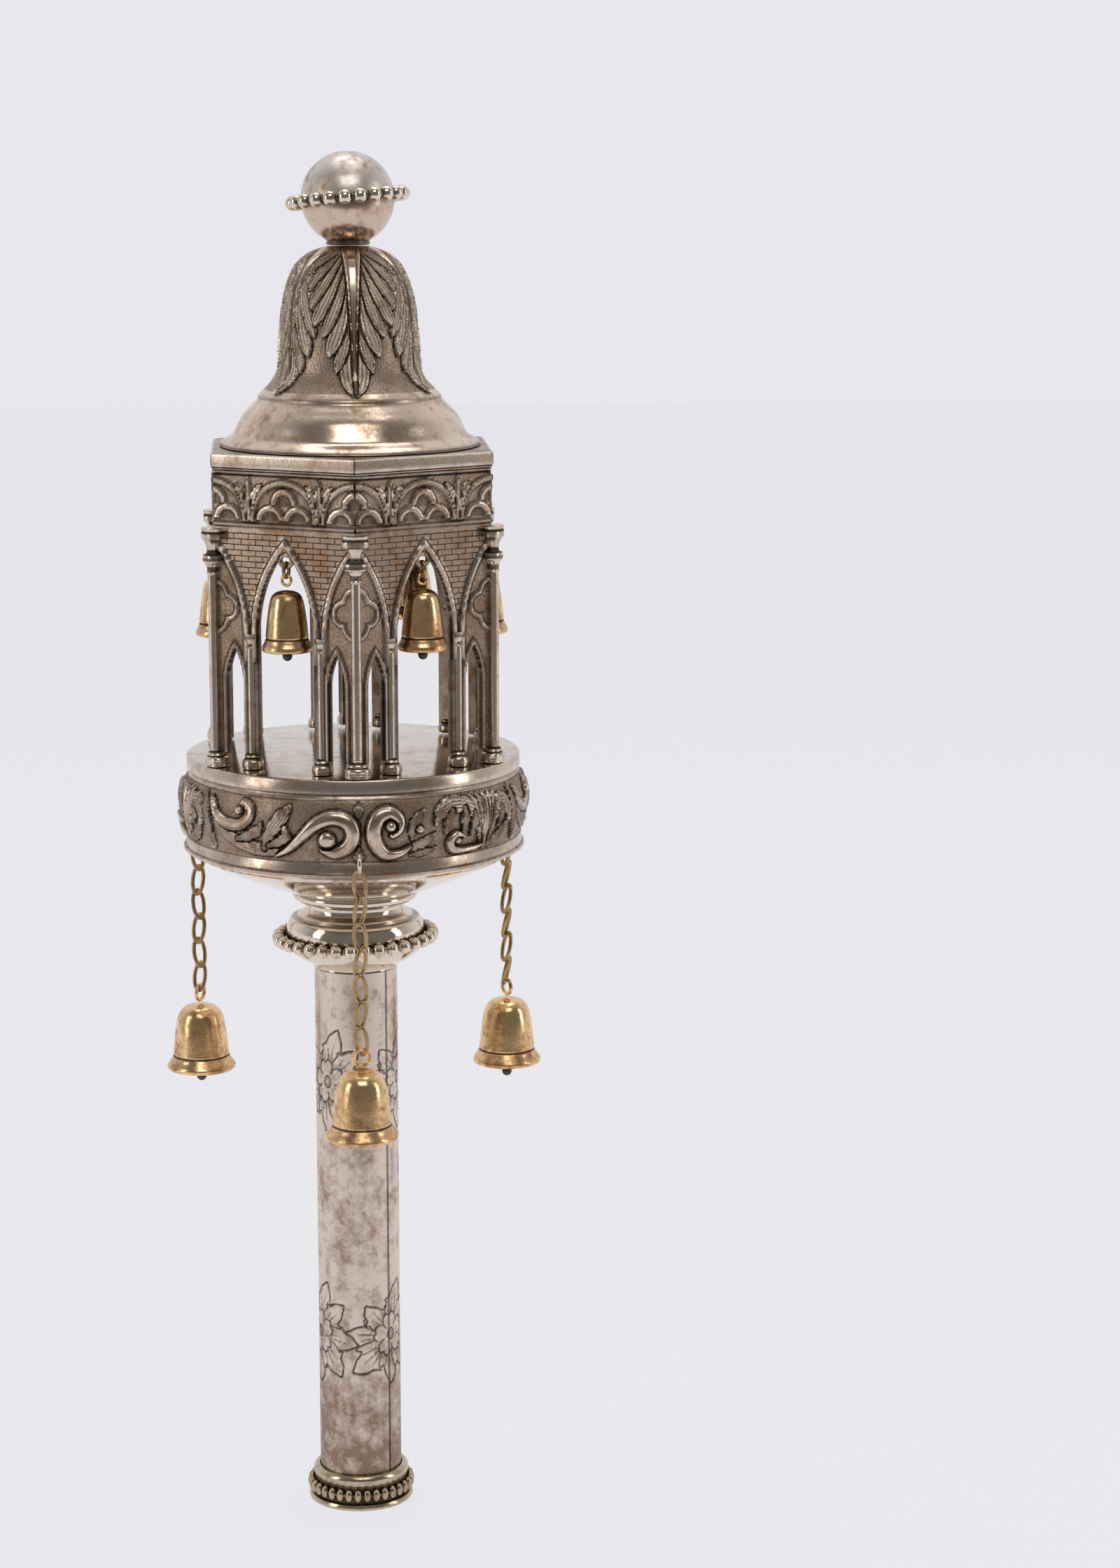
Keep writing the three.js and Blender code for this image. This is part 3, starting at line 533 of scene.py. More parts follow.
def beadTree():
    start, given = geometryTree("beadRing", {
        "Ring Radius": "NodeSocketFloat", "Bead Radius": "NodeSocketFloat", "Bead Height": "NodeSocketFloat",
        "Count": "NodeSocketInt", "Core": "NodeSocketFloat", "Metal": "NodeSocketMaterial",
    })
    circle = start.make("GeometryNodeMeshCircle", None, {
        "Vertices": given["Count"], "Radius": given["Ring Radius"],
    })
    bead = start.make("GeometryNodeMeshUVSphere", None, {
        "Segments": 20, "Rings": 12, "Radius": given["Bead Radius"],
    })
    size = start.make("ShaderNodeCombineXYZ", None, {
        "X": 1.0, "Y": 1.0, "Z": start.maths("DIVIDE", given["Bead Height"], given["Bead Radius"] * 2),
    })
    beads = start.make("GeometryNodeInstanceOnPoints", None, {
        "Points": circle, "Instance": bead, "Scale": size,
    })
    ring = start.make("GeometryNodeCurvePrimitiveCircle", None, {
        "Resolution": 128, "Radius": given["Ring Radius"],
    })
    wire = start.make("GeometryNodeCurvePrimitiveCircle", None, {"Resolution": 12, "Radius": given["Core"]})
    core = start.make("GeometryNodeCurveToMesh", None, {"Curve": ring, "Profile Curve": wire})
    both = start.make("GeometryNodeJoinGeometry", None, {0: beads})
    start.tree.links.new(core.socket, both.socket.node.inputs[0])
    return closeTree(start, both, given["Metal"])


def chainTree():
    # every link leans, and swings one way or the other about the line of the chain
    start, given = geometryTree("curbChain", {
        "Count": "NodeSocketInt", "Pitch": "NodeSocketFloat", "Link Length": "NodeSocketFloat",
        "Link Width": "NodeSocketFloat", "Wire": "NodeSocketFloat", "Lean": "NodeSocketFloat",
        "Swing": "NodeSocketFloat", "Metal": "NodeSocketMaterial",
    })
    circle = start.make("GeometryNodeCurvePrimitiveCircle", None, {"Resolution": 32, "Radius": 0.5})
    size = start.make("ShaderNodeCombineXYZ", None, {
        "X": given["Link Width"] - given["Wire"], "Y": given["Link Length"] - given["Wire"], "Z": 1.0,
    })
    oval = start.make("GeometryNodeTransform", None, {
        "Geometry": circle, "Rotation": (math.radians(90), 0, 0), "Scale": size,
    })
    wire = start.make("GeometryNodeCurvePrimitiveCircle", None, {
        "Resolution": 10, "Radius": given["Wire"] * 0.5,
    })
    link = start.make("GeometryNodeCurveToMesh", None, {"Curve": oval, "Profile Curve": wire})
    step = start.make("ShaderNodeCombineXYZ", None, {"X": 0.0, "Y": 0.0, "Z": 0 - given["Pitch"]})
    places = start.make("GeometryNodeMeshLine", None, {"Count": given["Count"], "Offset": step})
    index = start.make("GeometryNodeInputIndex")
    swing = (start.maths("MODULO", index, 2.0) * 2 - 1) * given["Swing"]
    twist = start.make("ShaderNodeCombineXYZ", None, {"X": given["Lean"], "Z": swing})
    links = start.make("GeometryNodeInstanceOnPoints", None, {
        "Points": places, "Instance": link, "Rotation": twist,
    })
    return closeTree(start, links, given["Metal"])


def grown(name, tree, sizes, finish):
    # runs a tree once and keeps what it made as a plain mesh
    holder = bpy.data.objects.new(name, bpy.data.meshes.new(name))
    bpy.context.scene.collection.objects.link(holder)
    modifier = holder.modifiers.new(name, "NODES")
    modifier.node_group = tree
    for item in tree.interface.items_tree:
        if item.in_out == "INPUT":
            modifier[item.identifier] = finish if item.name == "Metal" else sizes[item.name]
    holder.update_tag()
    view = bpy.context.evaluated_depsgraph_get()
    mesh = bpy.data.meshes.new_from_object(holder.evaluated_get(view), depsgraph=view)
    holder.modifiers.clear()
    bpy.data.objects.remove(holder)
    mesh.name = name
    return mesh


beadRing = beadTree()
curbChain = chainTree()
print("trees made")


def beadRow(name, look, finish):
    # a level ring of beads at height zero, dark where they meet
    beads = grown(name, beadRing, {
        "Ring Radius": look["beadRing"] * mm, "Bead Radius": look["beadRadius"] * mm,
        "Bead Height": look["beadHeight"] * mm, "Count": look["beads"], "Core": look["core"] * mm,
    }, finish)
    paint(beads, 0, betweenBeads(look["beads"], look["beadRing"], look["beadRadius"]))
    return beads


def hoop(name, radius, wire, steps, sides):
    # a wire ring that stands in the XZ plane
    turn = np.linspace(0, 2 * np.pi, steps + 1)[:-1, None]
    around = np.arange(sides) / sides * 2 * np.pi
    out = radius + wire * np.cos(around)
    points = np.stack([out * np.sin(turn), wire * np.sin(around) + 0 * turn, out * np.cos(turn)], -1)
    return gridMesh(name, points, True, True, None, 60)


# Stem: a tube with two engraved bands and a soldered seam
stem = {
    "radius": 12.15, "bore": 11.2, "height": 164.2, "column": 0.3, "row": 0.32, "plainRow": 6.0,
    "seam": 44.7, "seamWide": 0.36, "deep": 0.16, "brown": (4, 66), "flowerReach": 18, "edgeDark": 0.5,
    "bands": [
        {"low": 113.0, "high": 152.0, "middle": 131.0, "flowers": [-47.5, 72.5, 192.5]},
        {"low": 33.0, "high": 76.0, "middle": 53.0, "flowers": [48.0, -72.0, 168.0]},
    ],
    "leaves": [  # direction, length and width of each leaf under the flower
        (172, 15.0, 9.5), (224, 16.5, 10.5), (264, 15.5, 8.5), (128, 13.0, 9.0), (80, 16.5, 9.5),
        (38, 14.0, 9.0), (-8, 14.5, 9.5), (-52, 15.5, 10.0),
    ],
    "leafForm": [  # a lobed leaf along and across, for a length and a width of one
        (0.16, -0.10), (0.34, -0.34), (0.50, -0.46), (0.66, -0.47), (0.62, -0.30), (0.78, -0.22),
        (0.90, -0.10), (1.0, 0.02), (0.93, 0.16), (0.84, 0.28), (0.70, 0.34), (0.62, 0.50), (0.58, 0.40),
        (0.42, 0.40), (0.28, 0.30), (0.16, 0.10),
    ],
    "leafBend": 0.10, "leafCut": (0.34, 0.56, 0.3), "veins": (-0.24, 0.0, 0.2), "veinStrength": 0.8,
    "squash": 0.92, "petals": 5, "petalTurn": 0.1, "petalReach": 6.3, "rim": (0.16, 0.42),
    "rays": 15, "rayFrom": 2.2, "rayTo": 3.4, "rayStrength": 0.9, "heart": (1.3, 1.7), "heartStrength": 0.7,
    "fringe": 24, "fringeWide": 1.0, "fringeStrength": 0.5, "halo": 32, "haloWide": 2.0, "haloStrength": 0.7,
}


def insideOf(x, y, outline):
    found = np.zeros(x.shape, bool)
    for (ax, ay), (bx, by) in zip(outline, np.roll(outline, -1, 0)):
        if abs(by - ay) > 1e-9:
            found ^= ((ay > y) != (by > y)) & (x < (bx - ax) * (y - ay) / (by - ay) + ax)
    return found


def drawn(sheet, line, mark, strength=1.0):
    # a cut line whose points carry its width
    spot, across, _, wide, _ = sheet.trace(line)
    if across.size:
        cut = (1 - eased(np.abs(across), wide * 0.3, wide * 0.75)) * strength
        mark[spot] = np.maximum(mark[spot], cut)


def engravedLeaf(sheet, mark, flowerX, flowerY, turn, length, width):
    way = math.radians(turn)
    along, across = (math.cos(way), math.sin(way)), (-math.sin(way), math.cos(way))
    bend = stem["leafBend"] * math.sin(3 * way)

    def at(s, t):
        t = t * width + bend * length * s * s
        x = flowerX + s * length * along[0] + t * across[0]
        y = flowerY + s * length * along[1] + t * across[1]
        return x, y

    outline = smoothLine([at(s, t) for s, t in stem["leafForm"]], 4)
    rows, columns = sheet.window(outline, 1)
    if columns.start == columns.stop:
        return
    x, y = np.meshgrid(sheet.x[columns], sheet.y[rows])
    mark[rows, columns][insideOf(x, y, outline)] = 0
    count = len(outline)
    thick = np.interp(np.arange(count), [0, count / 2, count], stem["leafCut"])
    drawn(sheet, np.column_stack([outline, thick]), mark)
    for t in stem["veins"]:
        vein = [(*at(0.38, t * 0.5), 0.26), (*at(0.56, t * 0.85), 0.3), (*at(0.76 - abs(t) * 0.5, t), 0.12)]
        drawn(sheet, smoothLine(vein, 4), mark, stem["veinStrength"])


def engravedFlower(sheet, flowerX, flowerY, mark):
    for turn, length, width in stem["leaves"]:
        engravedLeaf(sheet, mark, flowerX, flowerY, turn, length, width)
    x, y = np.meshgrid(sheet.x - flowerX, sheet.y - flowerY)
    far, turn = np.hypot(x, y * stem["squash"]), np.arctan2(x, y)

    def strokes(count, low, high, scale=1.0):
        # thin lines that run out from the middle
        return 1 - eased(np.abs(np.sin(turn * count)) * far / scale, low, high)

    place = (turn / (2 * np.pi) * stem["petals"] + stem["petalTurn"]) % 1
    petal = np.abs(place - 0.5) * 2  # 1 in the middle of a petal
    tip = 0.13 * np.exp(-((1 - petal) / 0.16) ** 2)
    edge = stem["petalReach"] * (0.6 + 0.4 * (1 - (1 - petal) ** 3) - tip)
    mark[far < edge] = 0
    rim = 1 - eased(np.abs(far - edge), *stem["rim"])
    between = (1 - eased(petal * far, 0.16, 0.5)) * (far > 2.6) * (far < edge)
    rays = strokes(stem["rays"] / 2, 0.12, 0.4) * (far > stem["rayFrom"]) * (far < stem["rayTo"])
    fringe = strokes(stem["fringe"], 0.1, 0.32, 4) * (far > edge - stem["fringeWide"]) * (far < edge)
    halo = strokes(stem["halo"], 0.15, 0.6, 7) * (far > edge) * (far < edge + stem["haloWide"])
    wide, tall = stem["heart"]
    oval = np.hypot(x / wide, y / tall)
    heart = 1 - eased(np.abs(oval - 1) * 1.5, 0.12, 0.4)
    seed = (1 - eased(np.abs(oval - 0.5) * 1.5, 0.08, 0.3)) * stem["heartStrength"]
    flower = np.maximum.reduce([
        rim, between, rays * stem["rayStrength"], heart, seed, fringe * stem["fringeStrength"],
        halo * stem["haloStrength"],
    ])
    mark[:] = np.maximum(mark, flower)


def makeStem():
    radius, bore, top = stem["radius"], stem["bore"], stem["height"]
    around = 2 * np.pi * radius
    columns = int(around / stem["column"])
    x = (np.arange(columns) / columns - 0.5) * around
    rows = [np.arange(0, top, stem["plainRow"])]
    for band in stem["bands"]:
        rows.append(np.arange(band["low"], band["high"], stem["row"]))
    y = np.unique(np.round(np.concatenate([*rows, [top]]), 4))
    sheet = Carving(x, y)
    mark = np.zeros(sheet.height.shape)
    for band in stem["bands"]:
        for azimuth in band["flowers"]:
            centre = ((azimuth + 180) % 360 - 180) / 360 * around
            for turn in (-1, 0, 1):
                if abs(centre + turn * around) < around / 2 + stem["flowerReach"]:
                    engravedFlower(sheet, centre + turn * around, band["middle"], mark)
    seam = np.exp(-((x - stem["seam"] / 360 * around) / stem["seamWide"]) ** 2)
    mark = np.maximum(mark, seam[None, :])
    angle = x / radius
    outer = roundTheAxis(radius - stem["deep"] * mark, np.repeat(y[:, None], columns, 1), angle)
    brown = np.repeat((1 - eased(y, *stem["brown"]))[:, None], columns, 1)
    tint = np.stack([mark * 0.9, np.zeros_like(mark), brown], -1)
    edge = np.tile([stem["edgeDark"], 0, 0], (1, columns, 1))
    points = np.vstack([oneRow(bore, 0, angle), outer, oneRow(bore, top, angle)])
    mesh = gridMesh("stemTube", points, True, True, np.vstack([edge, tint, edge]))
    addPiece("stemTube", mesh, stemSilver, ["stem"])
    print("stem:", len(mesh.polygons), "faces")


makeStem()


# Foot: a flange, upright beads and a round moulding
foot = {
    "runs": [  # radius and height
        [(12.45, 0), (15.5, 0)], [(15.5, 0), (15.6, 0.7), (15.2, 1.5)], [(15.2, 1.5), (14.2, 1.8)],
        [(14.2, 1.8), (13.9, 4.4), (13.9, 6.9)],
        [(13.9, 6.9), (14.0, 7.0), (14.1, 7.4), (14.3, 8.7), (13.7, 9.8), (12.9, 10.1)],
        [(12.9, 10.1), (12.45, 10.1)],
    ],
    "dirt": [(1.7, 6.8, 0.85), (6.8, 7.2, 0.5)], "columns": 120,
    "beads": 34, "beadRing": 14.85, "beadRadius": 1.2, "beadHeight": 3.9, "beadMiddle": 4.4, "core": 0.5,
}


def makeFoot():
    body = turned("footBody", foot["runs"], foot["columns"], foot["dirt"], wrap=True)
    beads = moved(beadRow("footBeads", foot, footGilt), (0, 0, foot["beadMiddle"]))
    addPiece("footRing", joined("footRing", [body, beads]), footGilt, ["foot_ring"])


makeFoot()


# Collar: cup, bulb, neck, moulding and dish
collar = {
    "runs": [  # radius and height
        [(0, 164.5), (12.5, 164.5)],
        [(12.5, 164.5), (12.6, 165.2), (14.4, 166.3), (17.4, 168.0), (19.6, 170.4), (20.2, 171.4)],
        [(20.2, 171.4), (20.2, 175.4)],
        [(20.2, 175.4), (19.9, 177.4), (18.8, 179.2), (17.2, 179.4)],
        [(17.2, 179.4), (16.6, 180.4), (15.2, 181.4), (14.5, 182.6), (14.8, 184.2), (16.8, 184.5)],
        [(16.8, 184.5), (18.1, 185.3), (18.4, 186.5), (17.9, 187.4)],
        [(17.9, 187.4), (19.4, 187.6), (20.4, 188.2)],
        [(20.4, 188.2), (27.0, 190.6), (33.4, 193.2), (40.2, 196.2), (44.6, 198.4), (46.6, 199.7)],
        [(46.6, 199.7), (46.6, 200.5)], [(46.6, 200.5), (0, 200.5)],
    ],
    "dirt": [(179.2, 180.1, 0.45), (184.0, 184.7, 0.5), (187.2, 188.0, 0.6)], "columns": 128,
    "beads": 34, "beadRing": 22.6, "beadRadius": 1.95, "beadHeight": 3.9, "beadPlace": 173.35, "core": 0.9,
    "beadTilt": 1.2,
}


def makeCollar():
    shape = turned("collarBody", collar["runs"], collar["columns"], collar["dirt"])
    addPiece("collarBody", shape, cleanSilver, ["collar"])
    beads = beadRow("collarBeads", collar, cleanSilver)
    beads.transform(Matrix.Rotation(-math.radians(collar["beadTilt"]), 4, "Y"))
    moved(beads, (0, 0, collar["beadPlace"]))
    addPiece("collarBeads", beads, cleanSilver, ["collar_bead_ring"])


makeCollar()
print("foot and collar made")


# Drum: chased scrolls between plain bands, three times round
drum = {
    "radius": 48.5, "sheetRadius": 49, "low": 205.3, "high": 222.6, "grid": 0.3, "repeats": 3,
    "raise": 2.0, "bulge": 1.5, "bulgePlace": 1.25, "notch": 0.2, "veins": (0.0, 0.36, 0.7), "lip": 0.25,
    "below": [  # the plain rings under the scrolls: radius, height, dirt and polish
        (0, 200.8, 0, 0), (49.3, 200.8, 0, 0), (49.7, 201.1, 0, 0), (49.7, 201.7, 0, 0),
        (49.0, 202.1, 0.6, 0), (48.9, 202.5, 0.1, 0), (48.9, 204.8, 0, 0), (48.6, 205.1, 0.7, 0),
    ],
    "above": [
        (48.2, 222.8, 0.7, 0), (48.3, 223.1, 0.1, 0), (47.7, 223.7, 0.2, 0), (47.6, 224.2, 0.5, 0),
        (48.4, 224.6, 0.2, 0), (48.4, 225.0, 0, 0), (48.4, 228.1, 0, 0), (48.1, 228.4, 0, 1),
        (47.6, 228.5, 0, 1), (0, 228.5, 0, 1),
    ],
    "plainBright": 0.4,
    "leaves": [  # points along the drum, up and how wide; then how high, and how many lobes
        [[(-45.5, 219.5, 1.5), (-43.6, 213.6, 3.0), (-39.0, 210.4, 3.8), (-33.0, 208.6, 4.3),
          (-27.0, 207.9, 3.8), (-21.5, 207.9, 1.6)], 0.6, 0],
        [[(-36.5, 210.2, 1.4), (-32.4, 211.6, 3.2), (-29.2, 213.6, 3.0), (-27.6, 216.0, 0.5)], 0.7, 3],
        [[(-27.4, 208.4, 1.6), (-25.4, 212.6, 3.6), (-22.6, 216.8, 4.6), (-20.6, 219.4, 3.4),
          (-19.4, 221.4, 0.5)], 0.8, 4],
        [[(-25.8, 209.4, 1.4), (-22.8, 210.6, 2.8), (-20.4, 212.4, 3.4), (-20.6, 215.0, 1.2)], 0.9, 3],
        [[(-50.6, 222.0, 1.2), (-49.4, 218.0, 2.4), (-48.2, 212.0, 2.6), (-47.2, 206.2, 0.8)], 0.8, 0],
        [[(13.0, 208.8, 1.2), (16.4, 209.4, 3.0), (19.6, 210.8, 2.8), (21.8, 212.8, 0.5)], 0.7, 4],
        [[(14.5, 206.8, 0.8), (18.4, 207.2, 2.4), (22.4, 208.4, 0.6)], 0.5, 3],
        [[(14.8, 211.4, 1.0), (15.0, 214.6, 3.0), (16.6, 217.6, 2.6), (18.6, 219.6, 0.5)], 0.7, 4],
        [[(40.6, 206.6, 1.5), (41.6, 212.4, 3.4), (44.4, 217.6, 4.6), (48.0, 218.8, 4.4), (50.4, 215.6, 3.0),
          (50.6, 212.2, 0.6)], 0.85, 7],
        [[(39.5, 206.4, 1.2), (43.5, 207.4, 2.8), (47.2, 209.4, 3.0), (49.6, 212.2, 0.6)], 0.7, 5],
        [[(46.6, 217.4, 1.2), (46.4, 214.8, 2.4), (45.2, 211.6, 0.5)], 0.9, 2],
        [[(38.4, 206.6, 1.5), (37.8, 212.6, 3.6), (34.6, 218.2, 4.8), (28.6, 220.1, 5.0), (24.0, 218.6, 4.4),
          (21.8, 215.2, 0.8)], 0.85, 9],
        [[(27.4, 218.6, 1.4), (26.0, 215.8, 2.8), (24.8, 212.2, 0.5)], 0.9, 2],
        [[(31.6, 219.0, 1.4), (31.6, 215.6, 2.9), (30.6, 212.0, 0.5)], 0.9, 2],
        [[(35.0, 217.2, 1.4), (35.0, 214.0, 2.7), (33.6, 210.6, 0.5)], 0.9, 2],
        [[(0.0, 222.0, 0.5), (0.0, 220.6, 2.8), (0.0, 218.6, 1.4), (0.0, 217.4, 0.4)], 0.7, 0],
        [[(0.0, 217.6, 0.5), (0.0, 213.0, 1.0), (0.0, 209.4, 0.9)], 0.4, 0],
        [[(0.0, 205.4, 2.4), (0.0, 207.4, 3.0), (0.0, 209.8, 0.5)], 0.7, 3],
    ],
    "fanPlace": (39.4, 206.2),
    "fan": [(0, 0, 1.0), (1.6, 8, 1.9), (3.2, 13, 2.2), (5.6, 16.2, 0.5)],  # out, up and how wide
    "rolls": [  # points, how high, and how hollow
        [[(-23.5, 206.6, 0.8), (-19.5, 209.0, 2.2), (-15.2, 213.2, 3.2), (-11.6, 216.6, 4.0),
          (-7.0, 218.3, 4.4), (-3.0, 217.0, 4.5), (-1.6, 213.4, 4.4), (-3.2, 209.8, 4.2), (-6.6, 208.2, 3.8),
          (-9.4, 209.2, 3.2)], 1.0, 0],
        [[(14.4, 209.6, 0.8), (11.4, 207.6, 2.4), (7.6, 207.4, 3.6), (4.9, 210.2, 4.4), (4.0, 214.4, 4.6),
          (5.4, 218.2, 4.4), (8.6, 219.6, 3.8), (11.2, 217.6, 3.2), (11.0, 214.6, 2.6), (9.2, 213.0, 2.0)],
         1.0, 0],
        [[(-47.0, 221.0, 1.0), (-44.4, 216.8, 2.4), (-40.4, 214.4, 3.3), (-35.6, 214.4, 3.3),
          (-32.2, 216.6, 3.1), (-31.6, 219.4, 2.6), (-34.0, 220.9, 2.2), (-35.6, 219.0, 1.8)], 0.9, 0.45],
        [[(38.0, 207.2, 0.8), (34.6, 206.6, 2.0), (31.0, 206.4, 2.4), (27.6, 207.4, 2.6), (26.8, 209.8, 2.6),
          (28.6, 211.6, 2.2), (30.6, 210.6, 1.8)], 0.9, 0],
    ],
    "eyes": [  # along, up, radius and how high
        (-8.7, 211.8, 2.6, 0.95), (8.9, 215.5, 1.6, 0.9), (29.3, 209.6, 1.1, 0.8), (-35.3, 218.6, 1.2, 0.9),
        (17.0, 214.2, 1.2, 0.9),
    ],
}


def drumRings(rows, angle):
    points = [oneRow(radius, height, angle) for radius, height, _, _ in rows]
    tints = [[dirt, 0, polish, drum["plainBright"] * (dirt < 0.3)] for _, _, dirt, polish in rows]
    return points, [np.full((1, len(angle), 4), tint, float) for tint in tints]


def makeDrum():
    low, high, raised = drum["low"], drum["high"], drum["raise"]
    around = 2 * np.pi * drum["sheetRadius"]
    columns = int(around / drum["grid"])
    x = (np.arange(columns) / columns - 0.5) * around
    y = np.arange(low, high, drum["grid"])
    sheet = Carving(x, y)
    sheet.matted[:] = 1
    for centre in np.arange(-2, 3) * (around / drum["repeats"]):

        def shift(points):
            return [(centre + px, pz, wide) for px, pz, wide in points]

        for points, share, lobes in drum["leaves"]:
            notch = drum["notch"] * (lobes > 0)
            sheet.leaf(shift(points), raised * share, lobes, notch, drum["veins"], lip=drum["lip"])
        fanX, fanY = drum["fanPlace"]
        for lean in (-1.0, 1.0, -0.5, 0.5, 0.0):
            blade = [(fanX + out * lean, fanY + up, wide) for out, up, wide in drum["fan"]]
            sheet.leaf(shift(blade), raised * (0.62 - 0.15 * abs(lean)), 2, 0.1, (0.0,))
        for points, share, hollow in drum["rolls"]:
            sheet.roll(shift(points), raised * share, hollow=hollow)
        for eyeX, eyeY, size, share in drum["eyes"]:
            sheet.boss(centre + eyeX, eyeY, size, raised * share)
    fade = eased(y, low, low + 0.9) * (1 - eased(y, high - 1.4, high - 0.3))
    sheet.height *= fade[:, None]
    share = (y - low) / (high - low)
    bulge = drum["bulge"] * np.sin(np.pi * share ** drum["bulgePlace"])
    angle = x / drum["sheetRadius"]
    radius = drum["radius"] + sheet.height + bulge[:, None]
    carved = roundTheAxis(radius, np.repeat(y[:, None], columns, 1), angle)
    (below, belowTints), (above, aboveTints) = (drumRings(drum[rings], angle) for rings in ("below", "above"))
    tints = np.vstack([*belowTints, sheet.tint(3, 0.85, True), *aboveTints])
    mesh = gridMesh("drumBox", np.vstack([*below, carved, *above]), True, False, tints, 50)
    addPiece("drumBox", mesh, chasedSilver, ["drum"])
    print("drum:", len(mesh.polygons), "faces")


makeDrum()


# Lantern walls, drawn flat from the middle of a side: along it, and up from the drum
lantern = {
    "sides": 6, "apothem": 39.0, "thick": 2.0, "base": 228.8, "height": 82.9, "grid": 0.5, "gap": 0.06,
    "spring": 38.6, "archHalf": 11.0, "archRise": 27.2, "band": 2.0, "string": 68.6, "stringHeight": 1.1,
    "lancet": 16.3, "lancetHalf": 2.6, "lancetSpring": 24.4, "lancetRise": 9.6, "shaft": 11.26,
    "friezeArch": 11.0, "friezeUp": 1.2, "friezeBand": 1.9, "raise": 0.6, "medallion": 45.6,
    "medallionBand": 1.5,
    "lobes": [(3.7, 0.0, 4.1), (0.0, 3.3, 4.5)],  # out from the corner, up from the middle, and radius
    "cusps": [(0.0, 5.6, 4.2, 2.0), (4.4, 0.5, 4.6, 2.0)],  # along, up, radius and width of a trefoil's arcs
    "palm": [  # one half of the leaf between two arches: points out, up and how wide
        [(0.7, 3.0, 1.0), (1.5, 6.4, 1.7), (2.9, 9.4, 1.9), (4.2, 10.6, 0.6)],
        [(0.0, 0.8, 1.0), (0.0, 5.0, 1.5), (0.0, 9.2, 2.3), (0.0, 12.4, 0.6)],
    ],
}


def archEdge(x, y, spring, half, rise, inset):
    # below zero inside a pointed arch that runs down to the ground
    back = (rise ** 2 - half ** 2) / (2 * half)
    radius = half + back - inset
    above = np.hypot(np.abs(x) + back, y - spring) - radius
    return np.where(y > spring, above, np.abs(x) - (radius - back))


def openingEdge(x, y):
    main = archEdge(x, y, lantern["spring"], lantern["archHalf"], lantern["archRise"], lantern["band"])
    side = archEdge(np.abs(x) - lantern["lancet"], y, lantern["lancetSpring"], lantern["lancetHalf"],
                    lantern["lancetRise"], 0)
    return np.minimum(main, side)


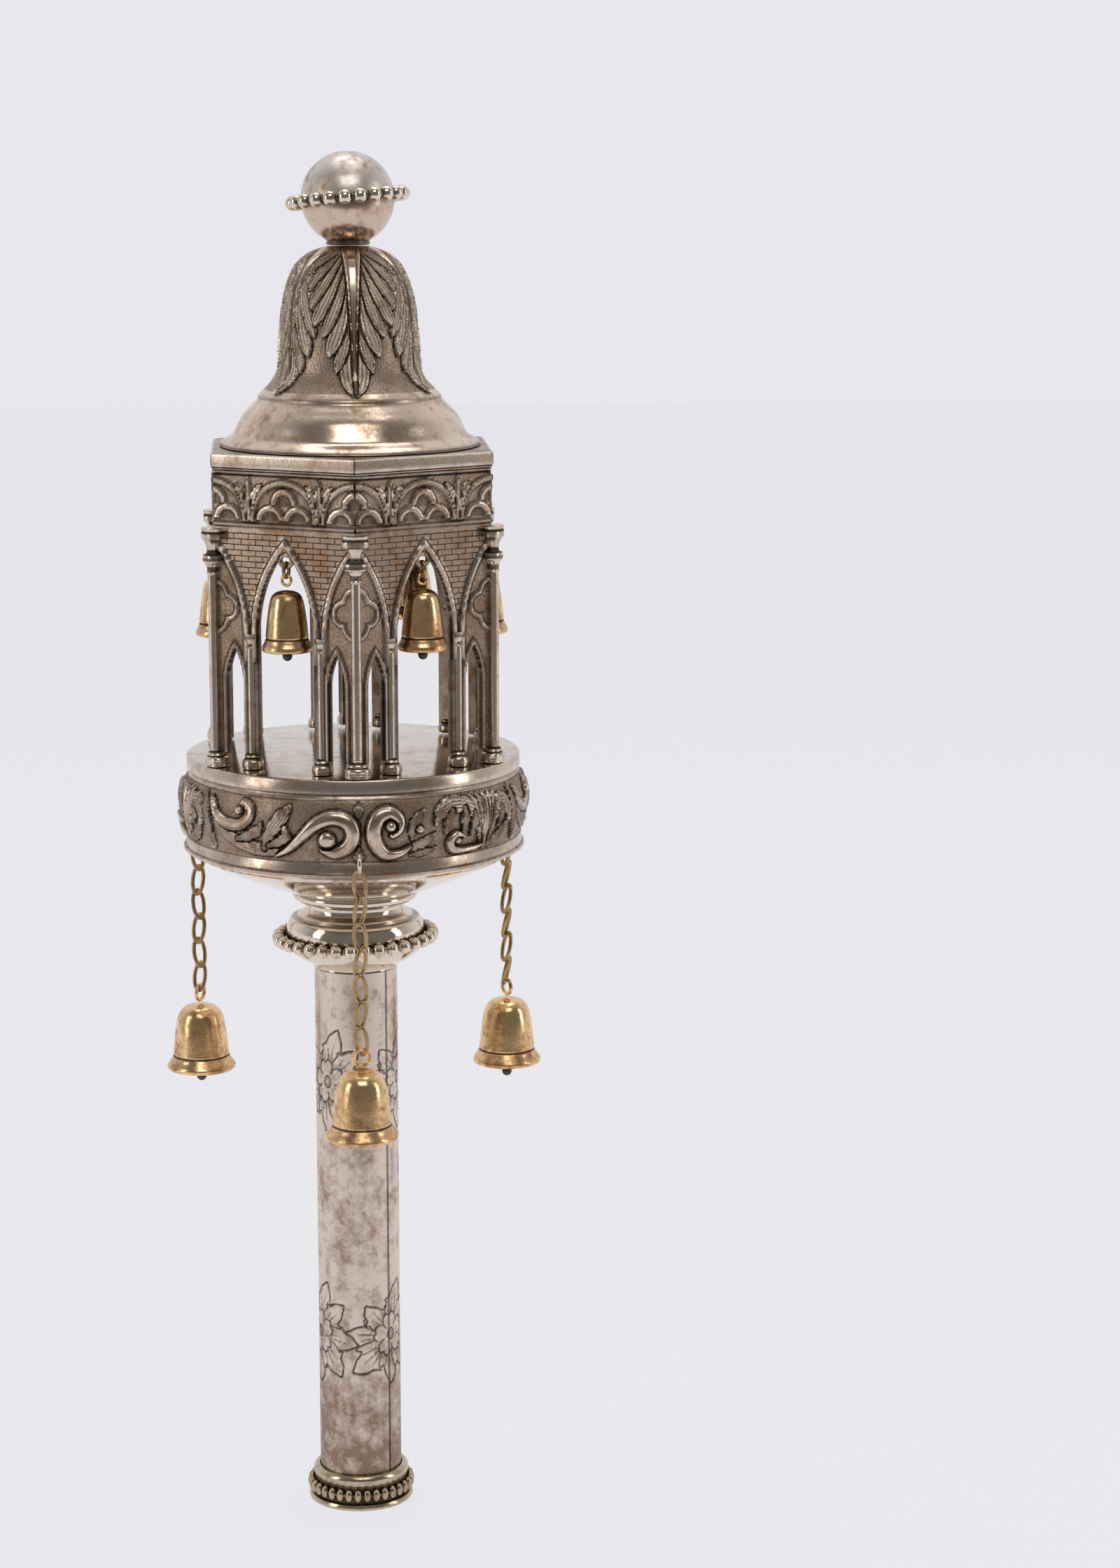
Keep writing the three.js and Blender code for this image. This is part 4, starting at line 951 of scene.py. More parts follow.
def wallRelief(x, y):
    # the raised and sunk work of one wall, with the half of a blind arch at either end
    high, band, spring, string = (lantern[name] for name in ("raise", "band", "spring", "string"))
    pitch = lantern["apothem"] * math.tan(math.pi / 6)
    corner = np.abs(np.abs(x) - pitch)  # how far it is to the nearer end
    form = (spring, lantern["archHalf"], lantern["archRise"])
    outer, blindOuter, blind = (
        archEdge(across, y, *form, inset) for across, inset in ((x, 0), (corner, 0), (corner, band))
    )
    side = archEdge(np.abs(x) - lantern["lancet"], y, lantern["lancetSpring"], lantern["lancetHalf"],
                    lantern["lancetRise"], 0)
    sheet = Carving(x[0], y[:, 0])

    def strip(edge, low, highEdge, raiseBy=high):
        # a band where low < edge < highEdge, with a dark line on both sides
        inside = eased(edge, low, low + 0.25) * (1 - eased(edge, highEdge - 0.25, highEdge))
        line = np.exp(-((edge - low) / 0.32) ** 2) + np.exp(-((edge - highEdge) / 0.32) ** 2)
        return inside * raiseBy, np.clip(line, 0, 1)

    def add(here, up, line, darkness):
        # the higher of two forms and the darker of two lines
        sheet.height = np.where(here, np.maximum(sheet.height, up), sheet.height)
        sheet.dark = np.where(here, np.maximum(sheet.dark, line * darkness), sheet.dark)

    # sunk ground under the blind arches, with a medallion on the corner
    sunk = (blind < 0) & (y < string) & (y > 4)
    sheet.height[sunk] = -high
    sheet.matted[sunk] = 1
    rise = np.abs(y - lantern["medallion"])
    edge = (corner + rise) / math.sqrt(2) - 4.5
    for out, up, radius in lantern["lobes"]:
        edge = np.minimum(edge, np.hypot(corner - out, rise - up) - radius)
    width = lantern["medallionBand"]
    up, line = strip(edge, -width, 0, 1.0)
    here = sunk & (edge < 0.3) & (edge > -width - 0.3)
    add(here, up - high, line, 0.75)
    sheet.matted = np.where(here & (up > 0.3), 0, sheet.matted)
    # the bands over the arches and the lancets, and the shade beside the shafts
    for edge in (blindOuter, outer):
        here = (y < string) & (y > spring - 8) & (edge < 0.5) & (edge > -band - 0.5)
        add(here, *strip(edge, -band, 0), 0.8)
    add((side < 1.8) & (y > 4), *strip(side, -0.2, 1.4, 0.6), 0.7)
    jamb = (side > 1.4) & (y > 3.5) & (np.abs(x) < lantern["shaft"] + 3.4)
    shadow = 0.55 * (1 - eased(y, spring - 9, spring - 2))
    sheet.dark = np.where(jamb, np.maximum(sheet.dark, shadow), sheet.dark)
    bricks = (outer > 0.4) & (blindOuter > 0.4) & (y < string - 1.6) & (y > spring)
    # string course and the frieze over it
    rise = y - string
    up, line = strip(rise, 0, lantern["stringHeight"], 0.6)
    sheet.height = np.maximum(sheet.height, up)
    sheet.dark = np.maximum(sheet.dark, line * 0.8 * (rise > -0.6) * (rise < 1.8))
    base = string + lantern["stringHeight"] + 0.3
    inFrieze = y > base
    nearest = np.minimum(np.abs(x), corner)
    arch = np.hypot(nearest, y - base - lantern["friezeUp"]) - lantern["friezeArch"]
    sheet.matted = np.where(inFrieze, 0.7, sheet.matted)
    sheet.height = np.where(inFrieze & (arch < -lantern["friezeBand"]), -high * 0.35, sheet.height)
    add(inFrieze & (np.abs(arch + 0.85) < 1.3), *strip(arch, -lantern["friezeBand"], 0), 0.7)
    for cx, cy, radius, width in lantern["cusps"]:
        edge = np.hypot(nearest - cx, y - base - cy) - radius
        above = inFrieze & (y > base + cy * 0.85)
        up, line = strip(edge, -width, 0, 0.5)
        here = above & (edge < 0.3) & (edge > -width - 0.3)
        hollow = above & (edge < -width - 0.3)
        sheet.height = np.where(here, up - 0.1, np.where(hollow, -0.45, sheet.height))
        sheet.matted = np.where(here & (up > 0.2), 0, sheet.matted)
        sheet.dark = np.where(here, line * 0.7, np.where(hollow, 0.3, sheet.dark))
    for hand in (-1, 1):
        for points in lantern["palm"]:
            for half in (-1, 1):
                blade = [(hand * pitch / 2 + half * out, base + up, wide) for out, up, wide in points]
                sheet.leaf(blade, 0.75, 0, 0.0, (0.0,), 0.2)
    sheet.dark = np.where(lantern["height"] - y < 0.5, 0.8, sheet.dark)
    sheet.extra = bricks * (sheet.dark < 0.3)
    edgeLine = np.exp(-(openingEdge(x, y) / 0.35) ** 2) * 0.35
    sheet.dark = np.clip(sheet.dark + edgeLine * (y < lantern["spring"]), 0, 1)
    return sheet.height, sheet.tint(2, 0.8)


def wallSheet():
    # the pierced front and back of one wall, and the edges between them
    half = lantern["apothem"] * math.tan(math.pi / 6) - lantern["gap"]
    backHalf = (lantern["apothem"] - lantern["thick"]) * math.tan(math.pi / 6) - lantern["gap"]
    columns = int(2 * half / lantern["grid"]) + 1
    rows = int(lantern["height"] / lantern["grid"]) + 1
    x, y = np.meshgrid(np.linspace(-half, half, columns), np.linspace(0, lantern["height"], rows))
    index = np.arange(rows * columns).reshape(rows, columns)
    midX, midY = (x[1:, 1:] + x[:-1, :-1]) / 2, (y[1:, 1:] + y[:-1, :-1]) / 2
    kept = openingEdge(midX, midY) > 0
    quads = np.stack([index[:-1, :-1], index[:-1, 1:], index[1:, 1:], index[1:, :-1]], -1)[kept]
    total = rows * columns
    edges = np.concatenate([quads[:, [k, (k + 1) % 4]] for k in range(4)])
    key, back = edges[:, 0] * total + edges[:, 1], edges[:, 1] * total + edges[:, 0]
    border = edges[~np.isin(key, back)]
    height, tint = wallRelief(x, y)
    flatX, flatY = x.ravel().copy(), y.ravel().copy()
    onBorder = np.zeros(total, bool)
    onBorder[border.ravel()] = True
    inner = onBorder & (np.abs(openingEdge(flatX, flatY)) < lantern["grid"] * 1.2)
    for _ in range(3):
        bx, by = flatX[inner], flatY[inner]
        value = openingEdge(bx, by)
        slopeX = (openingEdge(bx + 0.01, by) - value) / 0.01
        slopeY = (openingEdge(bx, by + 0.01) - value) / 0.01
        slopeY = np.where(by < 0.01, 0, slopeY)
        flatX[inner] = bx - value * slopeX
        flatY[inner] = by - value * slopeY
    depth = height.ravel()
    depth[inner] = np.maximum(depth[inner], 0) * 0.4
    squeeze = np.interp(np.abs(flatX), [0, half - 3, half], [0, half - 3, backHalf]) * np.sign(flatX)
    up = flatY + lantern["base"]
    front = np.stack([flatX, -lantern["apothem"] - depth, up], -1)
    inside = np.stack([squeeze, np.full(total, lantern["thick"] - lantern["apothem"]), up], -1)
    backQuads = quads[:, ::-1] + total
    rim = np.stack([border[:, 1], border[:, 0], border[:, 0] + total, border[:, 1] + total], -1)
    used = np.unique(quads)
    remap = np.full(2 * total, -1)
    remap[used] = np.arange(len(used))
    remap[used + total] = np.arange(len(used)) + len(used)
    points = np.vstack([front[used], inside[used]])
    shades = tint.reshape(-1, 4)[used]
    backShades = np.tile([0.3, 0.0, 0.0, 0.0], (len(used), 1))
    mesh = quadMesh("wallSheet", points, remap[np.vstack([quads, backQuads, rim])],
                    np.vstack([shades, backShades]), 38)
    place = np.zeros(len(mesh.vertices) * 3)
    mesh.vertices.foreach_get("co", place)
    place = place.reshape(-1, 3)
    corner = np.zeros(len(mesh.loops), np.int32)
    mesh.loops.foreach_get("vertex_index", corner)
    layer = mesh.uv_layers.new(name="wallMap")
    layer.data.foreach_set("uv", place[corner][:, [0, 2]].ravel() * 100)  # one unit is a centimetre
    return mesh


sideShaft = {
    "thin": 1.2, "columns": 20, "wearAndHighlight": 0.35, "forward": 0.3,
    "foot": [  # runs of radius and height over the base
        [(0, 0), (2.9, 0)], [(2.9, 0), (3.1, 1.0), (2.9, 2.2), (2.1, 3.0)],
        [(2.1, 3.0), (2.3, 3.4), (1.9, 4.0)], [(1.9, 4.0), (1.3, 4.4), (1.2, 5.0)],
    ],
    "head": [  # runs of radius and depth under the top
        [(1.2, 4.4), (1.65, 4.0), (1.2, 3.6)], [(1.2, 3.6), (1.35, 2.6), (1.9, 1.5)],
        [(1.9, 1.5), (1.95, 0.2)], [(1.95, 0.2), (0, 0)],
    ],
    "footDirt": [(2.8, 3.2, 0.9), (3.9, 4.5, 0.9)], "headDirt": [(3.7, 2.9, 0.7), (1.7, 1.3, 0.7)],
}
lugs = [  # radius, wire, steps and sides of each loop over the arch, and its height
    (1.85, 0.7, 24, 10, 59.6), (0.8, 0.75, 16, 8, 61.9),
]


def pillar(name, look, base, top):
    foot = [[(r, base + rise) for r, rise in run] for run in look["foot"]]
    head = [[(r, top - drop) for r, drop in run] for run in look["head"]]
    shaft = [(look["thin"], base + 5.0), head[0][0]]
    dirt = [(base + low, base + high, amount) for low, high, amount in look["footDirt"]]
    dirt += [(top - low, top - high, amount) for low, high, amount in look["headDirt"]]
    return turned(name, [*foot, shaft, *head], look["columns"], dirt, 35, wearAndHighlight=look["wearAndHighlight"])


def wallExtras():
    # the two side shafts and the lug that carries the bell
    base, front = lantern["base"], -lantern["apothem"]
    meshes = []
    for hand in (-1, 1):
        shaft = pillar("sideShaft", sideShaft, base, base + lantern["spring"])
        meshes.append(moved(shaft, (hand * lantern["shaft"], front + sideShaft["forward"], 0)))
    for radius, wire, steps, sides, up in lugs:
        meshes.append(moved(hoop("lug", radius, wire, steps, sides), (0, front + 1.0, base + up)))
    return meshes


def makeWalls():
    flat = joined("wall", [wallSheet(), *wallExtras()])
    for i in range(lantern["sides"]):
        mesh = moved(flat.copy(), azimuth=(i + 0.5) * 60)
        mesh.set_sharp_from_angle(angle=math.radians(38))
        addPiece(f"arcadeWall{i + 1}", mesh, wallSilver, [f"arcade_wall_{i + 1}"])
    print("walls:", len(mesh.polygons), "faces each")


makeWalls()


# Corner columns: a thin shaft with two leafy capitals, flattened against the corner
column = {
    "reach": 45.83, "base": 228.8, "top": 296.7, "flat": 0.55, "thin": 1.4, "columns": 32, "wearAndHighlight": 0.5,
    "foot": [
        [(0, 0), (3.6, 0)], [(3.6, 0), (3.75, 1.0), (3.5, 2.2), (2.6, 2.9)],
        [(2.6, 2.9), (2.8, 3.3), (2.3, 3.9)], [(2.3, 3.9), (1.4, 4.4), (1.4, 5.2)],
    ],
    "head": [
        [(1.4, 13.4), (1.9, 12.9), (1.5, 12.4)], [(1.5, 12.4), (1.6, 11.4), (2.4, 10.4), (3.2, 9.6)],
        [(3.2, 9.6), (3.3, 8.9), (3.1, 7.7)], [(3.1, 7.7), (1.7, 7.2), (1.7, 5.6), (2.5, 4.2), (3.8, 3.2)],
        [(3.8, 3.2), (3.85, 1.8), (3.6, 1.2), (3.85, 0.4)], [(3.85, 0.4), (3.6, 0), (0, 0)],
    ],
    "footDirt": [(2.7, 3.1, 0.9), (3.8, 4.5, 0.9)],
    "headDirt": [(12.5, 11.0, 0.7), (7.8, 6.4, 0.85), (1.8, 0.9, 0.9), (9.4, 8.6, 0.7)],
    "lobes": 8, "lobeDeep": 0.16, "leafyHead": [(11.6, 9.8), (6.8, 3.4)], "leafyFoot": (0.4, 1.7),
}


def columnShape():
    base, top, thin = column["base"], column["top"], column["thin"]
    shape = pillar("column", column, base, top)
    place = np.zeros(len(shape.vertices) * 3)
    shape.vertices.foreach_get("co", place)
    place = place.reshape(-1, 3) / mm
    x, y, z = place.T
    turn = np.arctan2(x, -y)
    low, high = column["leafyFoot"]
    leafy = (z > base + low) & (z < base + high)
    for low, high in column["leafyHead"]:
        leafy = leafy | ((z > top - low) & (z < top - high))
    scale = 1 - column["lobeDeep"] * leafy * np.abs(np.sin(turn * column["lobes"] / 2)) ** 3
    spread = np.maximum(np.hypot(x, y) * scale, 1e-6)
    flat = np.where(spread > thin, (thin + (spread - thin) * column["flat"]) / spread, 1)
    place[:, 0] = spread * np.sin(turn)
    place[:, 1] = -spread * np.cos(turn) * flat
    shape.vertices.foreach_set("co", (place * mm).ravel())
    shape.update()
    return shape


def makeColumns():
    for i in range(lantern["sides"]):
        mesh = moved(columnShape(), (0, -column["reach"], 0), i * 60)
        addPiece(f"cornerColumn{i + 1}", mesh, chasedSilver, [f"corner_column_{i + 1}"])


makeColumns()


# Cornice: a six-sided plate with a grooved edge and soldered corners
cornice = {
    "base": 312.0, "seam": 0.22, "seamTurn": 0.4, "seamDark": 0.8, "perSide": 14,
    "rows": [  # radius to a corner, height over the base, dirt, and how bright it is made by wear and painted highlight
        (0, 0, 0, 0), (43.9, 0, 0, 0), (45.0, 0.1, 0.3, 0), (45.3, 0.45, 0, 0.6), (45.1, 0.8, 0.4, 0),
        (44.8, 0.95, 0.95, 0), (45.4, 1.1, 0.4, 0), (45.6, 1.4, 0.1, 0.5), (45.35, 1.65, 0.95, 0),
        (45.8, 1.8, 0.2, 0.3), (45.9, 2.1, 0, 0.5), (45.9, 3.0, 0, 0.2), (45.9, 4.7, 0, 0.2),
        (45.7, 5.2, 0, 0.9), (45.3, 5.45, 0.1, 0.6), (44.7, 5.6, 0.3, 0), (39.9, 5.55, 0.2, 0),
        (0, 5.5, 0, 0),
    ],
}


def makeCornice():
    inner = [k * 60 / cornice["perSide"] for k in range(1, cornice["perSide"])]
    steps = [0, cornice["seamTurn"], *inner, 60 - cornice["seamTurn"]]
    angles = np.array([side * 60 + step for side in range(6) for step in steps])
    seams = np.tile([1.0] + [0.0] * (len(steps) - 1), 6)
    turn = np.radians(angles)
    hexagon = math.cos(math.radians(30)) / np.cos(np.radians(angles % 60 - 30))
    rows, tints = [], []
    for radius, rise, dirt, bright in cornice["rows"]:
        reach = radius * hexagon - cornice["seam"] * seams * (radius > 0)
        rows.append(roundTheAxis(reach, np.full(turn.shape, cornice["base"] + rise), turn))
        dark = np.clip(dirt + cornice["seamDark"] * seams, 0, 1)
        tints.append(np.stack([dark, 0 * seams, 0 * seams, bright + 0 * seams], -1))
    mesh = gridMesh("cornicePlate", np.stack(rows), True, False, np.stack(tints), 30)
    addPiece("cornicePlate", mesh, chasedSilver, ["cornice"])


makeCornice()
print("columns and cornice made")


# Dome: a bell of six acanthus leaves over a polished flare
dome = {
    "columns": 504, "row": 0.4, "sheetRadius": 18, "leafHigh": 1.5, "turn": 0.9, "ledge": 332.6,
    "leafOrder": (-3, -1, 1, 3, -2, 0, 2),  # three leaves lie over the other three
    "leafForm": {"lobes": 2, "notch": 0.12, "veins": (0.0, 0.5), "rim": 0.34, "lip": 0.4},
    "leafMatted": 0.16, "ribHigh": 1.1, "ribHollow": 0.85, "crown": (372.0, 373.6),
    "lines": [(331.6, 0.5, 0.5), (318.2, 0.4, 0.8)],  # height, width and darkness
    "profile": [
        (37.5, 317.9), (37.3, 318.3), (36.0, 319.4), (34.0, 320.6), (33.0, 321.9), (31.0, 325.9),
        (28.6, 328.6), (26.4, 330.9), (26.0, 332.0), (24.3, 333.8), (23.2, 334.9), (21.3, 337.2),
        (20.0, 340.0), (19.5, 344.0), (18.8, 351.0), (18.0, 357.8), (16.9, 362.5), (15.7, 365.8),
        (14.4, 368.3), (13.4, 369.6), (12.1, 370.9), (10.3, 372.2), (8.5, 373.3), (6.3, 374.1),
    ],
    "plumes": [  # points round, up and how wide, for one half of a leaf from the top down
        [(7.0, 372.6, 1.6), (10.2, 371.2, 2.8), (13.2, 369.3, 2.8), (14.9, 366.9, 0.6)],
        [(5.4, 372.4, 1.6), (8.4, 369.6, 3.0), (11.2, 366.2, 3.2), (12.6, 363.8, 2.2), (13.1, 362.2, 0.5)],
        [(4.2, 371.8, 1.8), (6.6, 367.8, 3.0), (9.4, 363.0, 3.5), (11.3, 359.4, 2.8), (12.1, 357.2, 0.5)],
        [(3.4, 371.0, 1.8), (4.8, 367.0, 3.0), (7.0, 361.5, 3.7), (9.2, 356.4, 3.9), (10.2, 354.2, 2.8),
         (10.7, 352.4, 0.5)],
        [(2.6, 368.0, 1.6), (4.0, 361.0, 3.0), (6.0, 354.8, 3.4), (7.4, 351.2, 2.4), (8.1, 349.2, 0.4)],
        [(2.0, 366.0, 2.2), (2.9, 358.0, 3.6), (4.3, 351.2, 4.3), (5.7, 346.8, 3.6), (6.5, 343.9, 0.6)],
        [(1.9, 356.0, 2.0), (2.3, 350.0, 2.8), (3.2, 345.0, 3.2), (4.1, 341.8, 2.5), (4.5, 339.4, 0.5)],
        [(1.3, 352.0, 2.6), (1.7, 344.0, 3.5), (1.9, 339.6, 4.1), (1.2, 336.0, 3.0), (0.15, 333.3, 0.5)],
    ],
    "rib": [(373.6, 10.5), (371.0, 7.5), (368.0, 5.5), (362.0, 3.7), (352.0, 2.1), (345.0, 1.4), (336.0, 0.8),
            (334.0, 0.5)],
}


def makeDome():
    columns, high = dome["columns"], dome["leafHigh"]
    around = 2 * np.pi * dome["sheetRadius"]
    x = (np.arange(columns) / columns - 0.5) * 2 * np.pi * dome["sheetRadius"]
    line = smoothLine(dome["profile"], 12)
    steps = np.r_[0, np.cumsum(np.hypot(*np.diff(line, axis=0).T))]
    at = np.arange(0, steps[-1], dome["row"])
    profileR, profileZ = np.interp(at, steps, line[:, 0]), np.interp(at, steps, line[:, 1])
    sheet = Carving(x, profileZ)
    sheet.matted[profileZ > dome["ledge"] + 1.0] = 1
    for leaf in dome["leafOrder"]:
        centre = leaf * (around / 6) + dome["turn"]
        for points in reversed(dome["plumes"]):
            for hand in (-1, 1):
                blade = [(centre + hand * px, pz, wide) for px, pz, wide in points]
                sheet.leaf(blade, high, hatch=True, **dome["leafForm"])
        rib = [(centre, pz, wide) for pz, wide in dome["rib"]]
        sheet.roll(rib, high * dome["ribHigh"], 0.3, dome["ribHollow"])
    sheet.matted = np.where((sheet.extra > 0.02) & (sheet.matted == 0), dome["leafMatted"], sheet.matted)
    crown = eased(profileZ, *dome["crown"])[:, None]
    sheet.height = sheet.height * (1 - crown)
    sheet.matted = sheet.matted * (1 - crown)
    tint = sheet.tint(3, 1.1, True)
    lines = sum(np.exp(-((profileZ - place) / wide) ** 2) * dark for place, wide, dark in dome["lines"])
    tint[..., 0] = np.clip(tint[..., 0] + lines[:, None] + 0.1 * sheet.matted, 0, 1)
    angle = x / dome["sheetRadius"]
    body = roundTheAxis(profileR[:, None] + sheet.height, np.repeat(profileZ[:, None], columns, 1), angle)
    low, top = (oneRow(0.0, dome["profile"][end][1], angle) for end in (0, -1))
    tint = np.concatenate([tint[:1] * 0, tint, tint[:1] * 0])
    mesh = gridMesh("domeBell", np.concatenate([low, body, top]), True, False, tint, 50)
    addPiece("domeBell", mesh, domeSilver, ["dome"])
    print("dome:", len(mesh.polygons), "faces")


makeDome()


# Ball with a tilted ring of beads
orb = {
    "radius": 13.3, "centre": 387.37, "neck": 6.0, "base": 374.4, "dent": 0.25, "slope": 0.09,
    "dullAndLitTop": (-1.0, 2.2), "bandWide": 1.3, "bandDark": 0.8, "neckDark": 0.7,
    "beads": 23, "beadRing": 15.75, "beadRadius": 2.1, "beadHeight": 4.2, "core": 0.8,
    "tiltSide": 5.3, "tiltFront": 3.6,
}


def makeOrb():
    radius, centre, neck, base = orb["radius"], orb["centre"], orb["neck"], orb["base"]
    turn = np.linspace(math.asin(neck / radius), math.pi, 18)
    ball = [(radius * math.sin(a), centre - radius * math.cos(a)) for a in turn]
    ball[-1] = (0, ball[-1][1] - orb["dent"])
    shape = turned("orbBall", [
        [(0, base), (neck, base)], [(neck, base), (6.3, base + 0.4), (neck, ball[0][1] - 0.1)], ball,
    ], 96, None, 60)

    def over(x, z):
        # height over the ring of beads, which slopes
        return z - x * orb["slope"] - centre

    def dirt(x, y, z):
        band = orb["bandDark"] * np.exp(-(over(x, z) / orb["bandWide"]) ** 2)
        return band + orb["neckDark"] * (z < base + 1.4)

    # the upper half of the ball is painted paler, partly as a dull finish and partly as painted light from
    # above
    paint(shape, 2, lambda x, y, z: eased(over(x, z), *orb["dullAndLitTop"]))
    paint(shape, 0, dirt)
    addPiece("orbBall", shape, orbSilver, ["orb"])
    beads = beadRow("orbBeads", orb, cleanSilver)
    side, front = math.radians(orb["tiltSide"]), math.radians(orb["tiltFront"])
    beads.transform(Matrix.Rotation(-side, 4, "Y") @ Matrix.Rotation(-front, 4, "X"))
    moved(beads, (0, 0, centre))
    addPiece("orbBeads", beads, cleanSilver, ["orb_bead_ring"])


makeOrb()


# Bells, both sizes: measures from the middle of the eye down
archBell = {
    "height": 17.2, "wall": 0.9, "eye": 1.45, "wire": 0.42, "eyeSteps": (24, 10), "radius": 38.0,
    "hung": [1, 2, 3, 5, 6], "clapper": 1.4, "drops": [2.8] * 6, "linkWire": 0.55, "linkSquash": 0.72,
    "outside": [  # runs of radius and depth under the crown
        [(0, 0), (1.0, 0.08), (2.0, 0.25), (3.3, 0.8), (4.35, 2.0), (5.0, 4.5), (5.55, 8.2), (5.9, 11.5),
         (6.05, 13.2)],
        [(6.05, 13.2), (5.9, 13.5), (6.15, 13.9)], [(6.15, 13.9), (6.5, 14.8), (7.0, 15.7)],
        [(7.0, 15.7), (7.1, 16.2), (7.05, 16.9), (6.7, 17.2)],
    ],
}
chainBell = {
    "height": 20.0, "wall": 1.0, "eye": 2.3, "wire": 0.58, "eyeSteps": (30, 12), "radius": 53.5,
    "clapper": 1.5, "drops": [2.5, 4.6, 4.0],
    "outside": [
        [(0, 0), (1.7, 0.1), (3.3, 0.4), (5.0, 1.2), (6.5, 3.0), (7.3, 6.0), (7.85, 10.0), (8.25, 14.0),
         (8.4, 15.4)],
        [(8.4, 15.4), (8.25, 15.75), (8.6, 16.2)], [(8.6, 16.2), (9.2, 17.2), (10.0, 18.3)],
        [(10.0, 18.3), (10.3, 18.9), (10.2, 19.6), (9.8, 20.0)],
    ],
}


def bellShape(name, bell, crown):
    high, wall = bell["height"], bell["wall"]
    outside = [[(r, crown - depth) for r, depth in run] for run in bell["outside"]]
    rim, waist, middle, shoulder = outside[-1][-1], outside[0][-1], outside[0][-3], outside[0][4]
    inside = [
        (rim[0] - wall, crown - high), (waist[0] - wall, waist[1]), (middle[0] - wall, middle[1]),
        (shoulder[0] - wall, shoulder[1] - wall * 0.5), (0, crown - wall),
    ]
    groove = waist[1]
    shape = turned(name, [*outside, [rim, inside[0]], inside], 56, [(groove - 0.6, groove, 0.9)], 50)
    paint(shape, 2, lambda x, y, z: 1 - eased(z, groove, groove + high * 0.6))
    return shape


def clapperShape(bell, crown, drop):
    # a ball under a stalk; the drop is how far the ball's lower end hangs below the rim
    size, stalk = bell["clapper"], 0.4
    middle = crown - bell["height"] - drop + size
    turn = np.linspace(0, math.pi * 0.9, 14)
    ball = [(size * math.sin(a), middle - size * math.cos(a)) for a in turn]
    foot, head = (stalk, middle + size * 1.15), (stalk, crown - 2.4)
    return turned("clapper", [ball, [ball[-1], foot], [foot, head], [head, (0, crown - 2.3)]], 20, None, 60)


def bellInPlace(name, bell, box, drop, azimuth):
    # the bell with its eye, and its clapper; the box is the solid bell's
    crown = box[0][2] / mm + bell["height"]
    eye = box[1][2] / mm - bell["eye"] - bell["wire"]
    loop = moved(hoop("eye", bell["eye"], bell["wire"], *bell["eyeSteps"]), (0, 0, eye))
    whole = joined(name, [bellShape("shell", bell, crown), loop])
    clapper = clapperShape(bell, crown, drop)
    return [moved(mesh, (0, -bell["radius"], 0), azimuth) for mesh in (whole, clapper)]


def makeBells():
    for i in (number - 1 for number in archBell["hung"]):
        azimuth, drop = (i + 0.5) * 60, archBell["drops"][i]
        name, box = f"archBell{i + 1}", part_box(f"arch_bell_{i + 1}")
        whole, clapper = bellInPlace(name, archBell, box, drop, azimuth)
        addPiece(name, whole, bellGilt, [f"arch_bell_{i + 1}"])
        addPiece(f"archClapper{i + 1}", clapper, clapperIron, [f"arch_bell_clapper_{i + 1}"])
        low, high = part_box(f"arch_bell_link_{i + 1}")
        wire = archBell["linkWire"]
        link = hoop("link", (high[2] - low[2]) / mm / 2 - wire, wire, 32, 10)
        link.transform(Matrix.Scale(archBell["linkSquash"], 4, Vector((1, 0, 0))))
        link.transform(Matrix.Rotation(math.radians(90), 4, "Z"))
        moved(link, (0, -archBell["radius"], (high[2] + low[2]) / 2 / mm), azimuth)
        addPiece(f"archLink{i + 1}", link, chainBrass, [f"arch_bell_link_{i + 1}"])
    for i in range(3):
        name, box = f"chainBell{i + 1}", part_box(f"chain_bell_{i + 1}")
        whole, clapper = bellInPlace(name, chainBell, box, chainBell["drops"][i], i * 120)
        addPiece(name, whole, bellGilt, [f"chain_bell_{i + 1}"])
        nodes = [f"chain_bell_clapper_{i + 1}"]
        addPiece(f"chainClapper{i + 1}", clapper, clapperIron, nodes)


makeBells()


# Chains of curb links, and the loops on the drum that carry them
chain = {
    "count": 7, "pitch": 7.45, "linkLength": 9.7, "linkWidth": 4.7, "wire": 1.2, "lean": 13, "swing": 27,
    "turns": [8, -25, -60], "wearAndHighlight": 0.3, "loop": 2.8, "loopWire": 0.6,
}


def makeChains():
    for i in range(3):
        low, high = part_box(f"chain_{i + 1}")
        mesh = grown(f"chain{i + 1}", curbChain, {
            "Count": chain["count"], "Pitch": chain["pitch"] * mm, "Link Length": chain["linkLength"] * mm,
            "Link Width": chain["linkWidth"] * mm, "Wire": chain["wire"] * mm,
            "Lean": math.radians(chain["lean"]), "Swing": math.radians(chain["swing"]),
        }, chainBrass)
        paint(mesh, 3, lambda x, y, z: np.full(len(z), chain["wearAndHighlight"]))
        mesh.transform(Matrix.Rotation(math.radians(chain["turns"][i]), 4, "Z"))
        moved(mesh, (0, -chainBell["radius"], high[2] / mm - chain["linkLength"] / 2), i * 120)
        addPiece(f"chain{i + 1}", mesh, chainBrass, [f"chain_{i + 1}"])
        low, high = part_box(f"drum_eyelet_{i + 1}")
        loop = hoop("drumLoop", chain["loop"], chain["loopWire"], 36, 12)
        loop.transform(Matrix.Rotation(math.radians(90), 4, "Z"))
        moved(loop, (0, -chainBell["radius"], (high[2] + low[2]) / 2 / mm), i * 120)
        addPiece(f"drumLoop{i + 1}", loop, cleanSilver, [f"drum_eyelet_{i + 1}"])


makeChains()
print("dome, ball, bells and chains made")


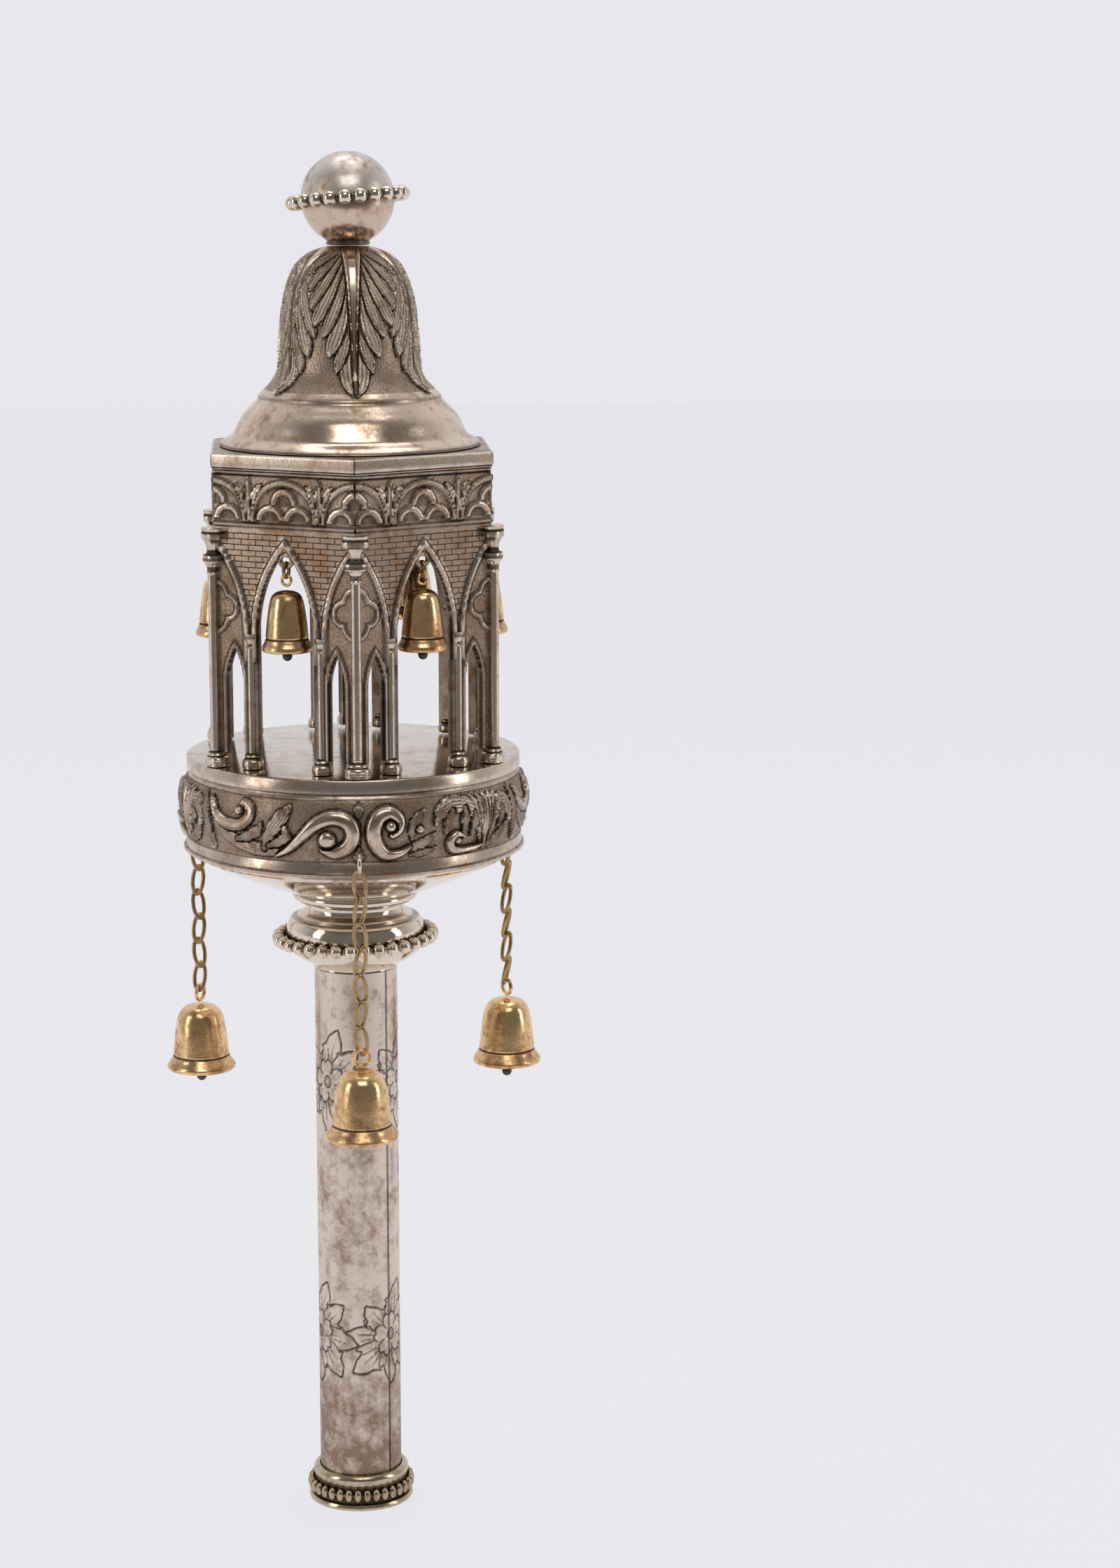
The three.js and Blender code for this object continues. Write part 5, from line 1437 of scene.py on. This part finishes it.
# Floor, light and camera
studio = {
    "table": [(-3.0, -0.85), (3.0, -0.85), (3.0, 4.0), (-3.0, 4.0)], "tableColour": (0.1, 0.1, 0.1),
    "tableGlow": (0.74, 0.735, 0.775), "air": (0.8, 0.795, 0.84),
    "dim": (0.17, 0.165, 0.16), "bright": (0.74, 0.74, 0.76), "sweepStart": 0.35, "sweepGain": 1.1,
    "lamps": [  # name, place, aim, width, height, watts, colour
        ["window", (0.08, -0.95, 1.45), (0, 0, 0.3), 0.9, 0.65, 4.6, (1.0, 0.98, 0.95)],
        ["leftPanel", (-1.3, -0.5, 0.6), (0, 0, 0.22), 0.35, 1.0, 3.4, (1.0, 0.98, 0.95)],
        ["rightPanel", (1.35, -0.35, 0.6), (0, 0, 0.22), 0.3, 1.0, 2.6, (1.0, 0.98, 0.96)],
        ["top", (0.1, 0.35, 1.9), (0, 0, 0.2), 1.2, 0.9, 6.0, (0.98, 0.99, 1.0)],
    ],
    "cameraPlace": (-0.0248, -1.0364, 0.414), "cameraTurn": (79.3, 0.0, -4.7), "lens": 82.8,
}


def makeStudio():
    mesh = bpy.data.meshes.new("floor")
    mesh.from_pydata([(*corner, 0.0) for corner in studio["table"]], [], [[0, 1, 2, 3]])
    floor = bpy.data.objects.new("floor", mesh)
    bpy.context.scene.collection.objects.link(floor)
    finish = bpy.data.materials.new("paper")
    finish.use_nodes = True
    paper = finish.node_tree.nodes["Principled BSDF"]
    paper.inputs["Base Color"].default_value = (*studio["tableColour"], 1)
    paper.inputs["Roughness"].default_value = 0.9
    paper.inputs["Specular IOR Level"].default_value = 0.0
    paper.inputs["Emission Color"].default_value = (*studio["tableGlow"], 1)
    paper.inputs["Emission Strength"].default_value = 1.0
    mesh.materials.append(finish)
    world = bpy.data.worlds.new("room")
    bpy.context.scene.world = world
    world.use_nodes = True
    world.node_tree.nodes.clear()
    start = Wire(world.node_tree)
    seen = start.make("ShaderNodeLightPath")
    way = start.make("ShaderNodeSeparateXYZ", None, {0: start.make("ShaderNodeTexCoord", out=0)}, 1)
    # the room is dim in front of the object and turns into a white sweep behind it
    behind = ((way + studio["sweepStart"]) * studio["sweepGain"]).clamped()
    lit = start.make("ShaderNodeBackground", None, {"Color": behind.blend(studio["dim"], studio["bright"])})
    shown = start.make("ShaderNodeBackground", None, {"Color": (*studio["air"], 1), "Strength": 1.0})
    both = start.make("ShaderNodeMixShader", None, {0: seen, 1: lit, 2: shown})
    start.make("ShaderNodeOutputWorld", None, {"Surface": both})
    for name, place, aim, width, height, watts, colour in studio["lamps"]:
        light = bpy.data.lights.new(name, "AREA")
        light.shape = "RECTANGLE"
        light.size, light.size_y, light.energy, light.color = width, height, watts, colour
        lamp = bpy.data.objects.new(name, light)
        lamp.location = place
        lamp.rotation_euler = (Vector(aim) - Vector(place)).to_track_quat("-Z", "Y").to_euler()
        bpy.context.scene.collection.objects.link(lamp)
    eye = bpy.data.cameras.new("camera")
    eye.lens = studio["lens"]
    eye.sensor_width = 36.0
    eye.clip_start = 0.01
    camera = bpy.data.objects.new("camera", eye)
    camera.location = studio["cameraPlace"]
    camera.rotation_euler = [math.radians(angle) for angle in studio["cameraTurn"]]
    bpy.context.scene.collection.objects.link(camera)
    bpy.context.scene.camera = camera
    bpy.context.scene.view_settings.view_transform = "Standard"


makeStudio()

print("scene finished")
